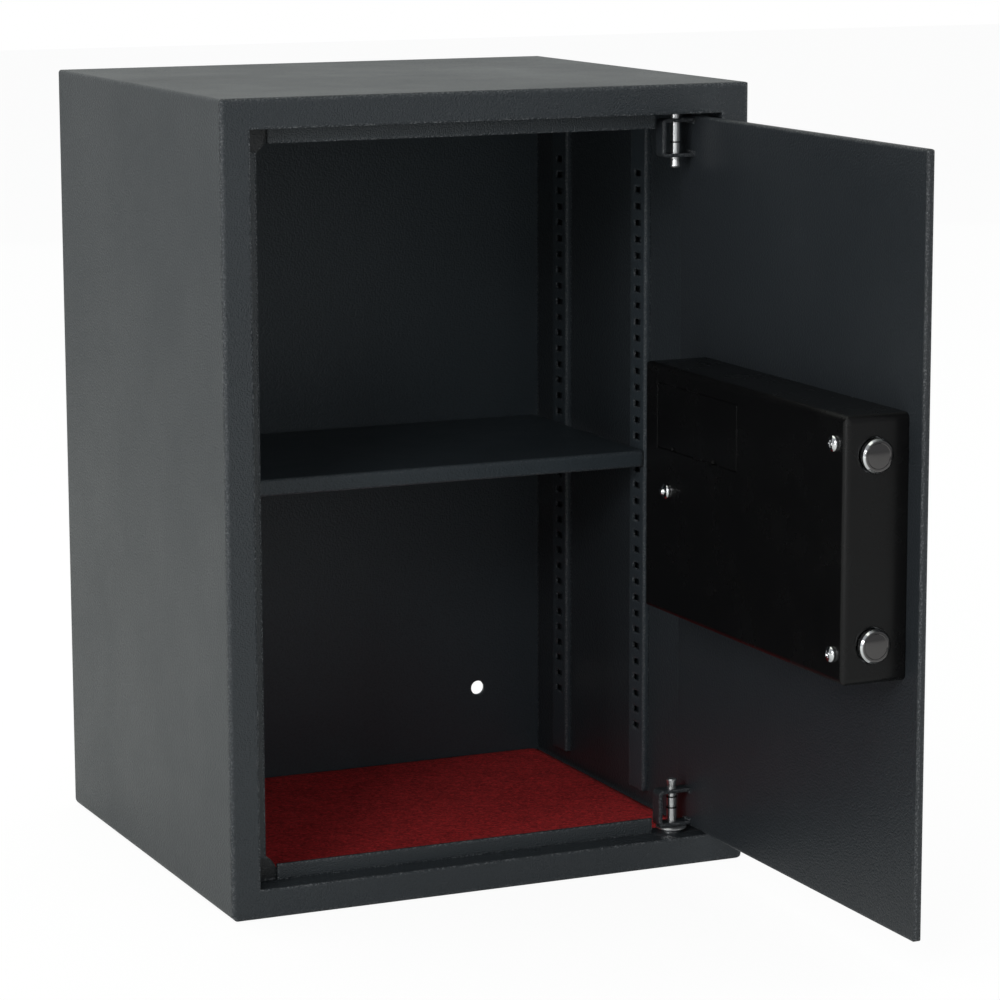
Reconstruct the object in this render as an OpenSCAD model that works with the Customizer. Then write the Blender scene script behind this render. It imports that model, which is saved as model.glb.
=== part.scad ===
// Upright sheet-steel safe deposit box with a slotted, shelved interior and a
// plate door that hangs on two knock-through pin hinges.
// Units: millimetres. X to the right, Y to the back, Z up.
// Origin: centre of the underside of the cabinet.

/* [Cabinet] */
// Outside width of the cabinet
body_w = 350; // [330:5:380]
// Outside depth of the cabinet, front face to back face
body_d = 310; // [290:5:360]
// Outside height of the cabinet
body_h = 500; // [480:10:560]
// Thickness of the folded steel sheet
sheet = 2; // [1.5:0.5:2]
// Width of the front border round the door opening
border = 18.5; // [17:0.5:20]
// Distance from the front face to the door stop lip
rebate = 17; // [16:0.5:17]
// Height of the door stop lip
lip_h = 10; // [8:0.5:10]
// Distance of the anchor holes from the middle of the back
anchor_x = 125; // [90:5:130]
// Height of the anchor holes above the underside
anchor_z = 53; // [45:1:70]
// Diameter of the anchor holes
anchor_bore = 10; // [8:1:12]

/* [Shelving] */
// Number of slots in each shelf strip
slot_count = 35; // [30:1:35]
// Distance between slots
slot_pitch = 11; // [10:0.5:11]
// Height of the lowest slot
slot_first_z = 58; // [50:1:60]
// Which slot carries the shelf, counted from the bottom
shelf_slot = 17; // [10:1:24]
// Depth of the shelf, front lip to back lip
shelf_d = 175.5; // [150:0.5:176]
// Height of the folded front lip of the shelf
shelf_lip = 11; // [10:0.5:16]

/* [Door] */
// Door opening angle that is drawn, 0 is shut
door_open = 90; // [0:5:105]
// Thickness of the door plate
door_t = 4.5; // [4:0.5:4.5]
// Gap between door and opening at the top, bottom and free edge
door_gap = 2.5; // [2:0.5:3]
// How far the door face sits behind the front of the cabinet
door_recess = 3; // [2:0.5:3]
// Distance of the hinge pins from the middle of the cabinet
hinge_x = 133.5; // [132:0.5:134]
// Diameter of the hinge pins
pin_d = 6; // [5:0.5:6]

/* [Lock case] */
// Length of the moulded lock case along the door
case_l = 254; // [250:1:256]
// Height of the lock case
case_h = 156; // [154:1:160]
// Depth of the lock case
case_d = 41; // [40:0.5:42]
// Height of the middle of the lock case
lock_z = 251; // [245:1:255]
// Distance from the middle of the lock case to each locking bolt
bolt_rise = 55; // [54:0.5:56]
// Diameter of the locking bolts
bolt_d = 20; // [16:1:20]
// How far the locking bolts slide
bolt_throw = 20; // [16:1:20]

/* [Keypad] */
// Diameter of the number keys
key_d = 13; // [11:0.5:13]
// Distance between number keys
key_pitch = 17; // [17:0.5:18]
// Diameter of the turning knob
knob_d = 38; // [32:1:40]
// How far the knob stands off the keypad housing
knob_h = 20; // [16:1:24]

/* [Hidden] */
$fn = 64;
blend_fn = 32;
over = 1;                               // extra length of cutting shapes
front_y = -body_d / 2;
back_y = body_d / 2;
half_w = body_w / 2;
in_x = half_w - sheet;                  // inner face of the side walls
in_back = back_y - sheet;               // inner face of the back panel
top_fold = 2;                           // outer fold radius, top and front edges
low_fold = 5;                           // outer fold radius, bottom edges
bend_in = 0.5;                          // inner radius of a tight fold

open_x = half_w - border;               // door opening
open_z0 = border;
open_z1 = body_h - border;
lip_y = front_y + rebate;               // front face of the stop lip
lip_back = lip_y + sheet;
lip_relief = 4.5;                       // how far the side lip stops short of a corner
lip_start_x = -open_x + 17.5;           // where the upper and lower lips start
gusset_r = 19;                          // round plates that close the left corners
lip_end_x = 118.5;                      // lips stop here, short of the hinges
tongue_front = lip_y - 5;               // flat stretch that takes the hinge pin
tongue_back = lip_back + lip_h;

strip_w = 22;                           // slotted shelf strips
strip_rise = 4.5;
strip_t = 1.2;
strip_fold = 1.2;
strip_z = [14, 486];
strip_y = [-13, 109];
slot_w = 9;
slot_h = 4;

clip_w = 7;                             // shelf clips
clip_t = 1.5;
clip_reach = 10;
clip_hook = 7;
shelf_t = 1.5;
shelf_fold = 2;
shelf_side_gap = 1.2;
clip_above_slot = 1.5;                  // clip top above the middle of its slot
shelf_seat = slot_first_z + slot_pitch * shelf_slot + clip_above_slot;
shelf_top = shelf_seat + shelf_t;
shelf_y0 = -24.5;
shelf_y1 = shelf_y0 + shelf_d;
shelf_hem = 7.5;                        // clears the clips when the shelf is lifted
shelf_back_lip = 8;
shelf_x = in_x - strip_rise - shelf_side_gap;
rest_gap = 0.1;                         // between a seat and what rests on it

carpet_t = 3;
carpet_x = in_x - low_fold + sheet;     // clear of the bottom folds
carpet_gap = 0.5;
carpet_front_gap = 1;
carpet_corner = 6;

door_y0 = front_y + door_recess;        // shut door: outer and inner faces
door_y1 = door_y0 + door_t;
door_x0 = -open_x + door_gap;
hinge_edge = 15.5;                      // hinge axis to the door's edge
door_x1 = hinge_x + hinge_edge;
door_z0 = open_z0 + door_gap;
door_z1 = open_z1 - door_gap;
door_corner = 3;
door_edge = 1;
hinge_y = front_y + 19;                 // hinge axis behind the front face

ear_t = 2.2;                            // hinge brackets
bracket_w = 10;
bracket_d = 22.5;
bracket_h = 24;
bracket_fold = 3;
bracket_gap = 4;                        // opening edge to bracket
bracket_z = [open_z0 + bracket_gap, open_z1 - bracket_gap - bracket_h];
hole_play = 0.4;                        // clearance holes, on the diameter
pin_play = 0.1;
pin_groove = 0.5;
ring_t = 0.8;
ring_rim = 0.6;
pin_low = 10;                           // lower pin, bottom and top
pin_low_top = 53;
pin_ring_z = [34.1, 41.2];
upper_ring_z = body_h - 37.2;
washer_r = 10;
washer_foot_r = 6;
washer_rim_t = 1.2;
washer_h = 3.7;

case_wall = 2.2;                        // lock case, on the shut door
case_x0 = -138.5;
case_x1 = case_x0 + case_l;
case_z0 = lock_z - case_h / 2;
case_z1 = lock_z + case_h / 2;
case_y = door_y1 + case_d;
case_corner = 4;
case_edge = 4;
boss_d = 9;
screw_d = 4;
head_d = 9.5;
head_h = 2.8;
boss_drop = 8;                          // top of the post below the case face
short_screw = 8.4;
long_screw = 14;
bolt_y = door_y1 + 22.1;                // locking bolts
bolt_z = [lock_z - bolt_rise, lock_z + bolt_rise];
bolt_x0 = case_x0 - 5;
bolt_l = 57.5;
bolt_chamfer = 1.2;
bolt_ring = 0.4;                        // turned ring round the bolt's end face
bolt_play = 0.08;
bolt_case_gap = 0.6;
channel_x0 = -134;                      // folded channel that guides the bolts
channel_w = 18;
channel_end = 12;
channel_y = case_y - 6.5;
channel_t = 2;
channel_fold = 2.5;
free_screw_x = channel_x0 + channel_w / 2;
free_screw_rise = 61;
post_x = 84.5;                          // post for the screw at the hinge side

cover_x = [-7.5, 97.5];                 // battery cover
cover_z = [277, 318];
cover_gap = 0.3;
cover_t = 2;
latch_x = [20.5, 74.5];
latch_w = 7;
tray_wall = 1.5;
tray_d = 17;
cell_d = 14.2;
cell_l = 49.2;
cell_nub = 1.1;
cell_nub_d = 5.4;
cell_inset = 10.5;                      // row of cells from the tray's edge
cell_seat = 0.3;
contact_t = 0.6;
contact_w = 10;
contact_h = 1;
contact_d = [9, 6];

plate_t = 3;                            // bolt carriage
plate_y = bolt_y - plate_t / 2;
plate_x = [-95, -72];
plate_end = 9;
plate_corner = 4;
arm_x1 = 62;
arm_z = [229, 248];
tail_slot = 3.2;
tail_gap = 0.2;
rivet_d = 4;
rivet_inset = 0.5;
rivet_from_edge = 4.5;
window_rise = 32;                       // two windows that lighten the plate
window_h = 28;
window_w = 10;
slot_end = 0.01;                        // keeps a straight length in a rounded slot
post_slot_d = 5.6;
guide_x = 10;
guide_z = 237;
guide_d = 8;
guide_pin_d = 5;
guide_gap = 0.4;
guide_head = 1.4;
notch_w = 8;
notch_d = 5;

knob_x = 42;                            // knob and its crank
crank_r = bolt_throw / (2 * sin(45));
crank_t = 2.8;
crank_gap = 0.5;
crank_pin_d = 4;
crank_slot_w = 5.4;
crank_slot_over = 0.6;
crank_slot_wall = 3.5;
crank_disc_r = 17;
shaft_d = 8;
shaft_hole = 10;
shaft_in_knob = 14;
knob_gap = 0.5;                         // knob to housing
knob_edge = 0.6;
knob_skirt_h = 3;
knob_crown = 3.5;                       // how far the crown steps in
knob_round = 2.5;
knob_mark = [1.6, 3, 0.8];              // width, start and depth of the pointer groove
flute_count = 20;
flute_r = 2.2;

lock_x = -4;                            // emergency key lock
barrel_r = 9.5;
barrel_play = 0.1;
barrel_front = 1.6;                     // barrel's face ahead of the housing
barrel_back = 9;                        // barrel's end behind the door's inner face
barrel_nut = 26;
nut_t = 3.5;
plug_r = 6;
plug_play = 0.08;
plug_step = 0.2;
key_way = [2.2, 8, 14];                 // keyway width, height and depth
tail_w = 7;
tail_l = 15;
tail_t = 2;
tail_gap_y = 0.4;
tail_corner = 3;

pad_x = [-92, 76];                      // keypad housing on the outer face
pad_z = [205, 297];
pad_d = 16;
pad_corner = 14;
pad_edge = 4;
pad_wall = 2.5;
pad_face = door_y0 - pad_d;
key_x = [-72, -55, -38];
key_top_z = 276;
key_gap = 0.3;
key_rise = 2;
key_flange = 1;
key_flange_t = 1.2;
key_depth = 3.6;
key_stem = 2;                           // how much smaller the stem is
key_round = [[0, 0.8], [0.3, 0.2], [1, 0]];
key_dish = [0.35, 0.5];
board_below_key = 2;
board_beside_key = [8, 10];
lens_x = [-72, -55, -38];
lens_z = 289;
lens_r = 2;
lens_dome = 1;
lens_flange = 1;
cap_r = 13.5;
cap_t = 3.2;
cap_recess = 2;
cap_lip = 0.5;
cap_dome = 0.6;
pad_screw_x = [-84, 68];
pad_screw_z = [214, 288];
pad_boss_d = 7;
pad_screw_l = 12;
pad_screw_hole = 9;

coil_x = -45;                           // solenoid above the carriage arm
coil_z = [262, 292];
coil_w = 24;
coil_d = 16;
coil_top = 9;                           // frame's height above the bolt axis
coil_gap = 1;
coil_bore_end = 6;
plunger_d = 6;
plunger_l = 32;
plunger_tip_edge = 1;
plunger_collar = [2, 8, 1];             // rim, start and thickness of the collar
plunger_tip = arm_z[1] + 0.4;
board_x = [-2, 80];                     // control board
board_z = [184, 226];
board_y = door_y1 + 6;
board_t = 1.6;
spacer_inset = 4;
spacer_d = 5;
chip_lo = [20, 196];                    // chip, plug block and capacitor on the board
chip_size = [14, 14, 2.4];
plug_lo = [46, 192];
plug_size = [18, 15, 14];
cap_at = [8, 212];
cap_size = [8, 12];                     // diameter, length

KEYS = ["1", "2", "3", "4", "5", "6", "7", "8", "9", "clear", "0", "enter"];

STEEL = [0.20, 0.22, 0.23];
DARK = [0.07, 0.07, 0.08];
CHROME = [0.80, 0.81, 0.83];
ZINC = [0.66, 0.68, 0.70];
RED = [0.50, 0.04, 0.07];
GREEN = [0.05, 0.25, 0.12];

// ---------- outlines and directions ----------

// Rectangle between two corners, with its own radius below and above
module round_rect(lo, hi, r_low, r_high) {
    difference() {
        translate(lo) square(hi - lo);
        for (right = [0, 1], top = [0, 1]) {
            r = top ? r_high : r_low;
            if (r > 0)
                translate([right ? hi[0] - r : lo[0] + r, top ? hi[1] - r : lo[1] + r])
                    difference() {
                        translate([right ? 0 : -r - over, top ? 0 : -r - over])
                            square(r + over);
                        circle(r);
                    }
        }
    }
}

// Slot with rounded ends between two corners
module round_slot(lo, hi) {
    r = min(hi[0] - lo[0], hi[1] - lo[1]) / 2 - slot_end;
    round_rect(lo, hi, r, r);
}

// Extrude an XZ outline along Y, a YZ outline along X, an XY outline along Z
module along_y(y0, y1) {
    translate([0, y1, 0]) rotate([90, 0, 0]) linear_extrude(y1 - y0) children();
}
module along_x(x0, x1) {
    translate([x0, 0, 0]) rotate([90, 0, 90]) linear_extrude(x1 - x0) children();
}
module along_z(z0, z1) {
    translate([0, 0, z0]) linear_extrude(z1 - z0) children();
}

// Block between two corners
module block(lo, hi) {
    translate(lo) cube(hi - lo);
}

// Round bar between two Y stations, between two X stations, between two Z stations
module bar_y(x, z, y0, y1, d) {
    translate([x, y1, z]) rotate([90, 0, 0]) cylinder(h = y1 - y0, d = d);
}
module bar_x(y, z, x0, x1, d) {
    translate([x0, y, z]) rotate([0, 90, 0]) cylinder(h = x1 - x0, d = d);
}
module bar_z(x, y, z0, z1, d) {
    translate([x, y, z0]) cylinder(h = z1 - z0, d = d);
}

// Turned part whose outline is [radius, distance] and whose axis points to -Y
module turned_out(x, y, z) {
    translate([x, y, z]) rotate([90, 0, 0]) rotate_extrude() children();
}

// Turned part whose axis points to +Y
module turned_in(x, y, z) {
    translate([x, y, z]) rotate([-90, 0, 0]) rotate_extrude() children();
}

// Everything on the door is drawn shut, then swung about the hinge pins
module on_door() {
    translate([hinge_x, hinge_y, 0]) rotate([0, 0, door_open])
        translate([-hinge_x, -hinge_y, 0]) children();
}

// ---------- cabinet ----------

// Top, sides and bottom, folded from one sheet
module cabinet_wrapper() {
    color(STEEL)
        along_y(front_y + sheet, back_y)
            difference() {
                round_rect([-half_w, 0], [half_w, body_h], low_fold, top_fold);
                round_rect([-in_x, sheet], [in_x, body_h - sheet],
                           low_fold - sheet, top_fold / 4);
            }
}

// Front border with its inward return
module front_frame() {
    color(STEEL) {
        frame_face();
        difference() {
            along_y(front_y + sheet, lip_back) difference() {
                round_rect([-open_x - sheet, open_z0 - sheet],
                           [open_x + sheet, open_z1 + sheet], sheet, sheet);
                translate([-open_x, open_z0]) square([2 * open_x, open_z1 - open_z0]);
            }
            block([lip_end_x, tongue_front, open_z0 - sheet - over],
                  [open_x, tongue_back, open_z1 + sheet + over]);
        }
    }
}

module frame_face() {
    intersection() {
        along_y(front_y, front_y + sheet) difference() {
            round_rect([-half_w, 0], [half_w, body_h], low_fold, top_fold);
            translate([-open_x, open_z0]) square([2 * open_x, open_z1 - open_z0]);
        }
        along_z(0, body_h)
            round_rect([-half_w, front_y], [half_w, back_y], top_fold, 0);
        along_x(-half_w, half_w) difference() {
            translate([front_y, 0]) square([body_d, body_h]);
            for (z = [0, body_h])
                translate([front_y + top_fold, z == 0 ? top_fold : body_h - top_fold])
                    difference() {
                        translate([-top_fold - over, z == 0 ? -top_fold - over : 0])
                            square(top_fold + over);
                        circle(top_fold);
                    }
        }
    }
}

// Edges of the return turned inwards, on which the shut door rests
module stop_lips() {
    low = lip_h + lip_relief;
    color(STEEL) along_y(lip_y, lip_back) {
        translate([-open_x, open_z0 + low])
            square([lip_h, open_z1 - open_z0 - 2 * low]);
        for (z = [open_z0, open_z1 - lip_h])
            translate([lip_start_x, z]) square([lip_end_x - lip_start_x, lip_h]);
    }
}

// Quarter-round plates welded behind the lips in the two left corners
module corner_gussets() {
    color(STEEL) along_y(lip_back, lip_back + sheet)
        for (top = [0, 1]) translate([-open_x, top ? open_z1 : open_z0])
            intersection() {
                circle(gusset_r);
                translate([0, top ? -gusset_r : 0]) square(gusset_r);
            }
}

// Flat ends of the return, above and below the door, that take the hinge pins
module hinge_tongues() {
    color(STEEL) for (z = [open_z0 - sheet, open_z1]) difference() {
        block([lip_end_x, tongue_front, z], [open_x, tongue_back, z + sheet]);
        bar_z(hinge_x, hinge_y, z - over, z + sheet + over, pin_d + 2 * pin_play);
    }
}

module back_panel() {
    color(STEEL) difference() {
        along_y(in_back, back_y)
            round_rect([-in_x, sheet], [in_x, body_h - sheet],
                       low_fold - sheet, top_fold / 4);
        for (side = [-1, 1])
            bar_y(side * anchor_x, anchor_z, in_back - over, back_y + over, anchor_bore);
    }
}

module floor_carpet() {
    color(RED) along_z(sheet, sheet + carpet_t)
        round_rect([-carpet_x, front_y + sheet + carpet_front_gap],
                   [carpet_x, in_back - carpet_gap],
                   carpet_corner, carpet_corner);
}

// Shallow folded channel on a side wall, with a column of slots for shelf clips
module slot_strip(side, y) {
    face_x = in_x - strip_rise;
    color(STEEL) mirror([side < 0 ? 1 : 0, 0, 0]) difference() {
        along_z(strip_z[0], strip_z[1]) difference() {
            round_rect([face_x, y - strip_w / 2],
                       [in_x + strip_rise, y + strip_w / 2], strip_fold, strip_fold);
            translate([face_x + strip_t, y - strip_w / 2 + strip_t])
                square([2 * strip_rise, strip_w - 2 * strip_t]);
            translate([in_x, y - strip_w]) square([2 * strip_rise, 2 * strip_w]);
        }
        for (i = [0 : slot_count - 1])
            translate([face_x, y, slot_first_z + i * slot_pitch])
                cube([4 * strip_t, slot_w, slot_h], center = true);
    }
}

module left_front_strip() { slot_strip(-1, strip_y[0]); }
module left_rear_strip() { slot_strip(-1, strip_y[1]); }
module right_front_strip() { slot_strip(1, strip_y[0]); }
module right_rear_strip() { slot_strip(1, strip_y[1]); }

// Bent steel tabs that hook into the slots and carry the shelf
module shelf_clips() {
    face_x = in_x - strip_rise;
    seat = shelf_seat - rest_gap;
    color(ZINC) for (side = [0, 1], y = strip_y)
        mirror([side, 0, 0]) along_y(y - clip_w / 2, y + clip_w / 2) union() {
            translate([face_x - clip_reach, seat - clip_t])
                square([clip_reach + strip_t + 2 * clip_t, clip_t]);
            translate([face_x + strip_t + bend_in, seat - clip_hook])
                square([clip_t, clip_hook]);
            translate([face_x - clip_t - rest_gap, seat - clip_hook])
                square([clip_t, clip_hook]);
        }
}

// Dished washer that carries the weight of the door
module hinge_washer() {
    hole_r = pin_d / 2 + 3 * pin_play;
    color(CHROME) translate([hinge_x, hinge_y, open_z0]) rotate_extrude()
        polygon(concat([[hole_r, 0], [washer_foot_r, 0]],
            [for (a = [0 : 15 : 90])
                [washer_foot_r + (washer_r - washer_foot_r) * (1 - cos(a)),
                 (washer_h - washer_rim_t) * sin(a)]],
            [[washer_r, washer_h - washer_rim_t / 2],
             [washer_r - washer_rim_t / 2, washer_h], [hole_r, washer_h]]));
}

// ---------- shelf ----------

module shelf() {
    hem_z = shelf_top - shelf_lip;
    color(STEEL) along_x(-shelf_x, shelf_x) difference() {
        round_rect([shelf_y0, hem_z], [shelf_y1, shelf_top], shelf_t, shelf_fold);
        round_rect([shelf_y0 + shelf_t, hem_z + shelf_t],
                   [shelf_y1 - shelf_t, shelf_seat], 0, bend_in);
        translate([shelf_y0 + shelf_hem, hem_z - over])
            square([shelf_d, shelf_lip - shelf_back_lip + over]);
        translate([shelf_y0 + shelf_hem, hem_z])
            square([shelf_d / 2, 2 * shelf_t]);
    }
}

// ---------- door and hinges ----------

module door_plate() {
    color(STEEL) on_door() difference() {
        intersection() {
            along_y(door_y0, door_y1)
                round_rect([door_x0, door_z0], [door_x1, door_z1], door_corner, door_corner);
            along_z(door_z0, door_z1)
                round_rect([door_x0, door_y0], [door_x1, door_y1], door_edge, door_edge);
            along_x(door_x0, door_x1)
                round_rect([door_y0, door_z0], [door_y1, door_z1], door_edge, door_edge);
        }
        for (x = [knob_x, key_x[1]])
            bar_y(x, lock_z, door_y0 - over, door_y1 + over, shaft_hole);
        bar_y(lock_x, lock_z, door_y0 - over, door_y1 + over, 2 * barrel_r + hole_play);
        for (x = pad_screw_x, z = pad_screw_z)
            bar_y(x, z, door_y0 - over, door_y1 + over, screw_d + hole_play);
    }
}

// U-shaped bracket: web away from the door, two ears welded to the door
module hinge_bracket(z0) {
    color(STEEL) on_door() difference() {
        along_x(hinge_x - bracket_w / 2, hinge_x + bracket_w / 2) difference() {
            round_rect([door_y1 - bracket_d, z0], [door_y1 + bracket_d, z0 + bracket_h],
                       bracket_fold, bracket_fold);
            round_rect([door_y1 - bracket_d, z0 + ear_t],
                       [door_y1 + bracket_d - ear_t, z0 + bracket_h - ear_t],
                       bracket_fold - ear_t, bracket_fold - ear_t);
            translate([door_y1 - bracket_d - over, z0 - over])
                square([bracket_d + over, bracket_h + 2 * over]);
        }
        bar_z(hinge_x, hinge_y, z0 - over, z0 + bracket_h + over, pin_d);
    }
}

module top_hinge_bracket() { hinge_bracket(bracket_z[1]); }
module bottom_hinge_bracket() { hinge_bracket(bracket_z[0]); }

// Turned pin; its flared end stops it from falling through the bracket.
// Heights are measured from the end that sits in the cabinet.
module hinge_pin(length, rings) {
    r = pin_d / 2;
    rotate_extrude() difference() {
        polygon([[0, 0], [r - 0.5, 0], [r, 0.7], [r, length - 5.4], [r - 0.4, length - 5],
                 [r + 0.3, length - 0.8], [r - 0.2, length], [0, length]]);
        for (z = rings)
            translate([r - pin_groove, z - ring_t / 2]) square([2 * pin_groove, ring_t]);
    }
}

module bottom_hinge_pin() {
    color(CHROME) on_door() translate([hinge_x, hinge_y, pin_low])
        hinge_pin(pin_low_top - pin_low, [for (z = pin_ring_z) z - pin_low]);
}

module top_hinge_pin() {
    color(CHROME) on_door() translate([hinge_x, hinge_y, body_h - pin_low])
        rotate([180, 0, 0])
            hinge_pin(pin_low_top - pin_low, [body_h - upper_ring_z - pin_low]);
}

// Spring rings in the pin grooves
module pin_rings() {
    r = pin_d / 2;
    color(DARK) on_door() translate([hinge_x, hinge_y, 0])
        for (z = concat(pin_ring_z, [upper_ring_z]))
            translate([0, 0, z]) rotate_extrude()
                translate([r - pin_groove, -ring_t / 2]) square([pin_groove + ring_rim, ring_t]);
}

// ---------- lock case and what it holds ----------

// Five-sided rounded shell, open towards the door
module case_form(inset) {
    lo_x = case_x0 + inset;
    hi_x = case_x1 - inset;
    lo_z = case_z0 + inset;
    hi_z = case_z1 - inset;
    face = case_y - inset;
    corner = case_corner - inset;
    edge = max(case_edge - inset, bend_in);
    foot = door_y1 - (inset > 0 ? over : 0);
    intersection() {
        along_y(foot, face) round_rect([lo_x, lo_z], [hi_x, hi_z], corner, corner);
        along_z(lo_z, hi_z) round_rect([lo_x, foot], [hi_x, face], 0, edge);
        along_x(lo_x, hi_x) difference() {
            translate([foot, lo_z]) square([face - foot, hi_z - lo_z]);
            for (top = [0, 1])
                translate([face - edge, top ? hi_z - edge : lo_z + edge]) difference() {
                    translate([0, top ? 0 : -edge - over]) square(edge + over);
                    circle(edge);
                }
        }
    }
}

module lock_case() {
    color(DARK) on_door() difference() {
        union() {
            difference() {
                case_form(0);
                case_form(case_wall);
            }
            bar_y(post_x, lock_z, case_y - boss_drop, case_y - case_wall / 2, boss_d);
            for (s = [-1, 1])
                bar_y(free_screw_x, lock_z + s * free_screw_rise,
                      channel_y, case_y - case_wall / 2, boss_d);
        }
        block([cover_x[0], case_y - 2 * case_wall, cover_z[0]],
              [cover_x[1], case_y + over, cover_z[1]]);
        for (z = bolt_z)
            bar_x(bolt_y, z, case_x0 - over, case_x0 + 2 * case_wall,
                  bolt_d + 2 * bolt_case_gap);
        for (p = screw_places())
            bar_y(p[0], p[1], door_y1, case_y + over, screw_d + hole_play);
    }
}

function screw_places() = [
    [post_x, lock_z],
    [free_screw_x, lock_z + free_screw_rise],
    [free_screw_x, lock_z - free_screw_rise]];

// Cross-recessed pan-head screw with its axis along Y, head outwards
module pan_screw(x, z, y, length) {
    difference() {
        union() {
            turned_in(x, y, z) polygon([
                [0, 0], [head_d / 2, 0], [head_d / 2, 1], [head_d / 2 - 0.6, 1.9],
                [head_d / 2 - 1.8, 2.6], [0, head_h]]);
            bar_y(x, z, y - length, y + 0.5, screw_d);
        }
        for (a = [0, 90])
            translate([x, y + head_h, z]) rotate([0, a, 0])
                cube([4.4, 3, 0.9], center = true);
    }
}

module case_screws() {
    color(CHROME) on_door() {
        pan_screw(post_x, lock_z, case_y, long_screw);
        for (s = [-1, 1])
            pan_screw(free_screw_x, lock_z + s * free_screw_rise, case_y, short_screw);
    }
}

// Welded post that takes the screw at the hinge side
module case_post() {
    color(ZINC) on_door() difference() {
        bar_y(post_x, lock_z, door_y1, case_y - boss_drop, boss_d);
        bar_y(post_x, lock_z, case_y - long_screw - over, case_y, screw_d);
    }
}

// Folded channel with two bores for each locking bolt
module bolt_channel() {
    z0 = bolt_z[0] - channel_end;
    z1 = bolt_z[1] + channel_end;
    color(ZINC) on_door() difference() {
        along_z(z0, z1) difference() {
            round_rect([channel_x0, door_y1], [channel_x0 + channel_w, channel_y],
                       0, channel_fold);
            round_rect([channel_x0 + channel_t, door_y1 - over],
                       [channel_x0 + channel_w - channel_t, channel_y - channel_t],
                       0, channel_fold - channel_t);
        }
        for (z = bolt_z)
            bar_x(bolt_y, z, channel_x0 - over, channel_x0 + channel_w + over,
                  bolt_d + 2 * bolt_play);
        for (s = [-1, 1])
            bar_y(free_screw_x, lock_z + s * free_screw_rise,
                  channel_y - channel_t - over, channel_y + over, screw_d);
    }
}

// Shouldered post on which the carriage arm slides
module guide_post() {
    color(ZINC) on_door() {
        head_y = plate_y + plate_t + guide_gap;
        bar_y(guide_x, guide_z, door_y1, plate_y - guide_gap, guide_d);
        bar_y(guide_x, guide_z, plate_y - over, head_y, guide_pin_d);
        bar_y(guide_x, guide_z, head_y, head_y + guide_head, guide_d);
    }
}

module battery_cover() {
    color(DARK) on_door() difference() {
        along_y(case_y - cover_t, case_y)
            round_rect([cover_x[0] + cover_gap, cover_z[0] + cover_gap],
                       [cover_x[1] - cover_gap, cover_z[1] - cover_gap], 1, 1);
        for (x = latch_x)
            block([x - latch_w / 2, case_y - 1, cover_z[0]],
                  [x + latch_w / 2, case_y + over, cover_z[0] + 2.5]);
    }
}

module battery_tray() {
    top = case_y - case_wall - rest_gap;
    color(DARK) on_door() difference() {
        block([cover_x[0] - tray_wall, top - tray_d, cover_z[0] - tray_wall],
              [cover_x[1] + tray_wall, top, cover_z[1] + tray_wall]);
        block([cover_x[0], top - tray_d + tray_wall, cover_z[0]],
              [cover_x[1], top + over, cover_z[1]]);
    }
}

function cell_mid_x() = (cover_x[0] + cover_x[1]) / 2;
function cell_y() = case_y - case_wall - rest_gap - tray_d + tray_wall + cell_d / 2
    + cell_seat;
function cell_rows() = [cover_z[0] + cell_inset, cover_z[1] - cell_inset];

// Dry cells, two in line in each of two rows
module batteries() {
    color(ZINC) on_door()
        for (z = cell_rows(), s = [-1, 1]) {
            x0 = cell_mid_x() + (s < 0 ? -cell_l - cell_nub - rest_gap : 0);
            bar_x(cell_y(), z, x0, x0 + cell_l, cell_d);
            bar_x(cell_y(), z, x0 + cell_l - over, x0 + cell_l + cell_nub, cell_nub_d);
        }
}

// Contact plates at both ends of each row, the sprung ones with a cone
module battery_contacts() {
    color(ZINC) on_door()
        for (z = cell_rows(), s = [-1, 1]) {
            wall_x = s < 0 ? cover_x[0] : cover_x[1] - contact_t;
            block([wall_x, cell_y() - contact_w / 2, z - contact_w / 2],
                  [wall_x + contact_t, cell_y() + contact_w / 2, z + contact_w / 2]);
            if (s < 0)
                translate([wall_x + contact_t, cell_y(), z]) rotate([0, 90, 0])
                    cylinder(h = contact_h, d1 = contact_d[0], d2 = contact_d[1]);
        }
}

// ---------- bolt works ----------

module locking_bolt(z) {
    r = bolt_d / 2;
    color(CHROME) on_door() difference() {
        translate([bolt_x0, bolt_y, z]) rotate([0, 90, 0]) rotate_extrude()
            polygon([[0, bolt_ring], [r - 2 * bolt_chamfer - bolt_ring, bolt_ring],
                     [r - 2 * bolt_chamfer, 0], [r - bolt_chamfer, 0], [r, bolt_chamfer],
                     [r, bolt_l - bolt_chamfer], [r - bolt_chamfer, bolt_l], [0, bolt_l]]);
        block([plate_x[0] - tail_gap, bolt_y - tail_slot / 2, z - bolt_d],
              [bolt_x0 + bolt_l + over, bolt_y + tail_slot / 2, z + bolt_d]);
        bar_y(rivet_x(), z, bolt_y - bolt_d, bolt_y + bolt_d, rivet_d);
    }
}

function rivet_x() = plate_x[0] + rivet_from_edge;

module upper_bolt() { locking_bolt(bolt_z[1]); }
module lower_bolt() { locking_bolt(bolt_z[0]); }

// Rivets that hold the bolts to the carriage
module bolt_rivets() {
    reach = bolt_d / 2 - rivet_inset;
    color(ZINC) on_door() for (z = bolt_z)
        bar_y(rivet_x(), z, bolt_y - reach, bolt_y + reach, rivet_d);
}

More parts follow.
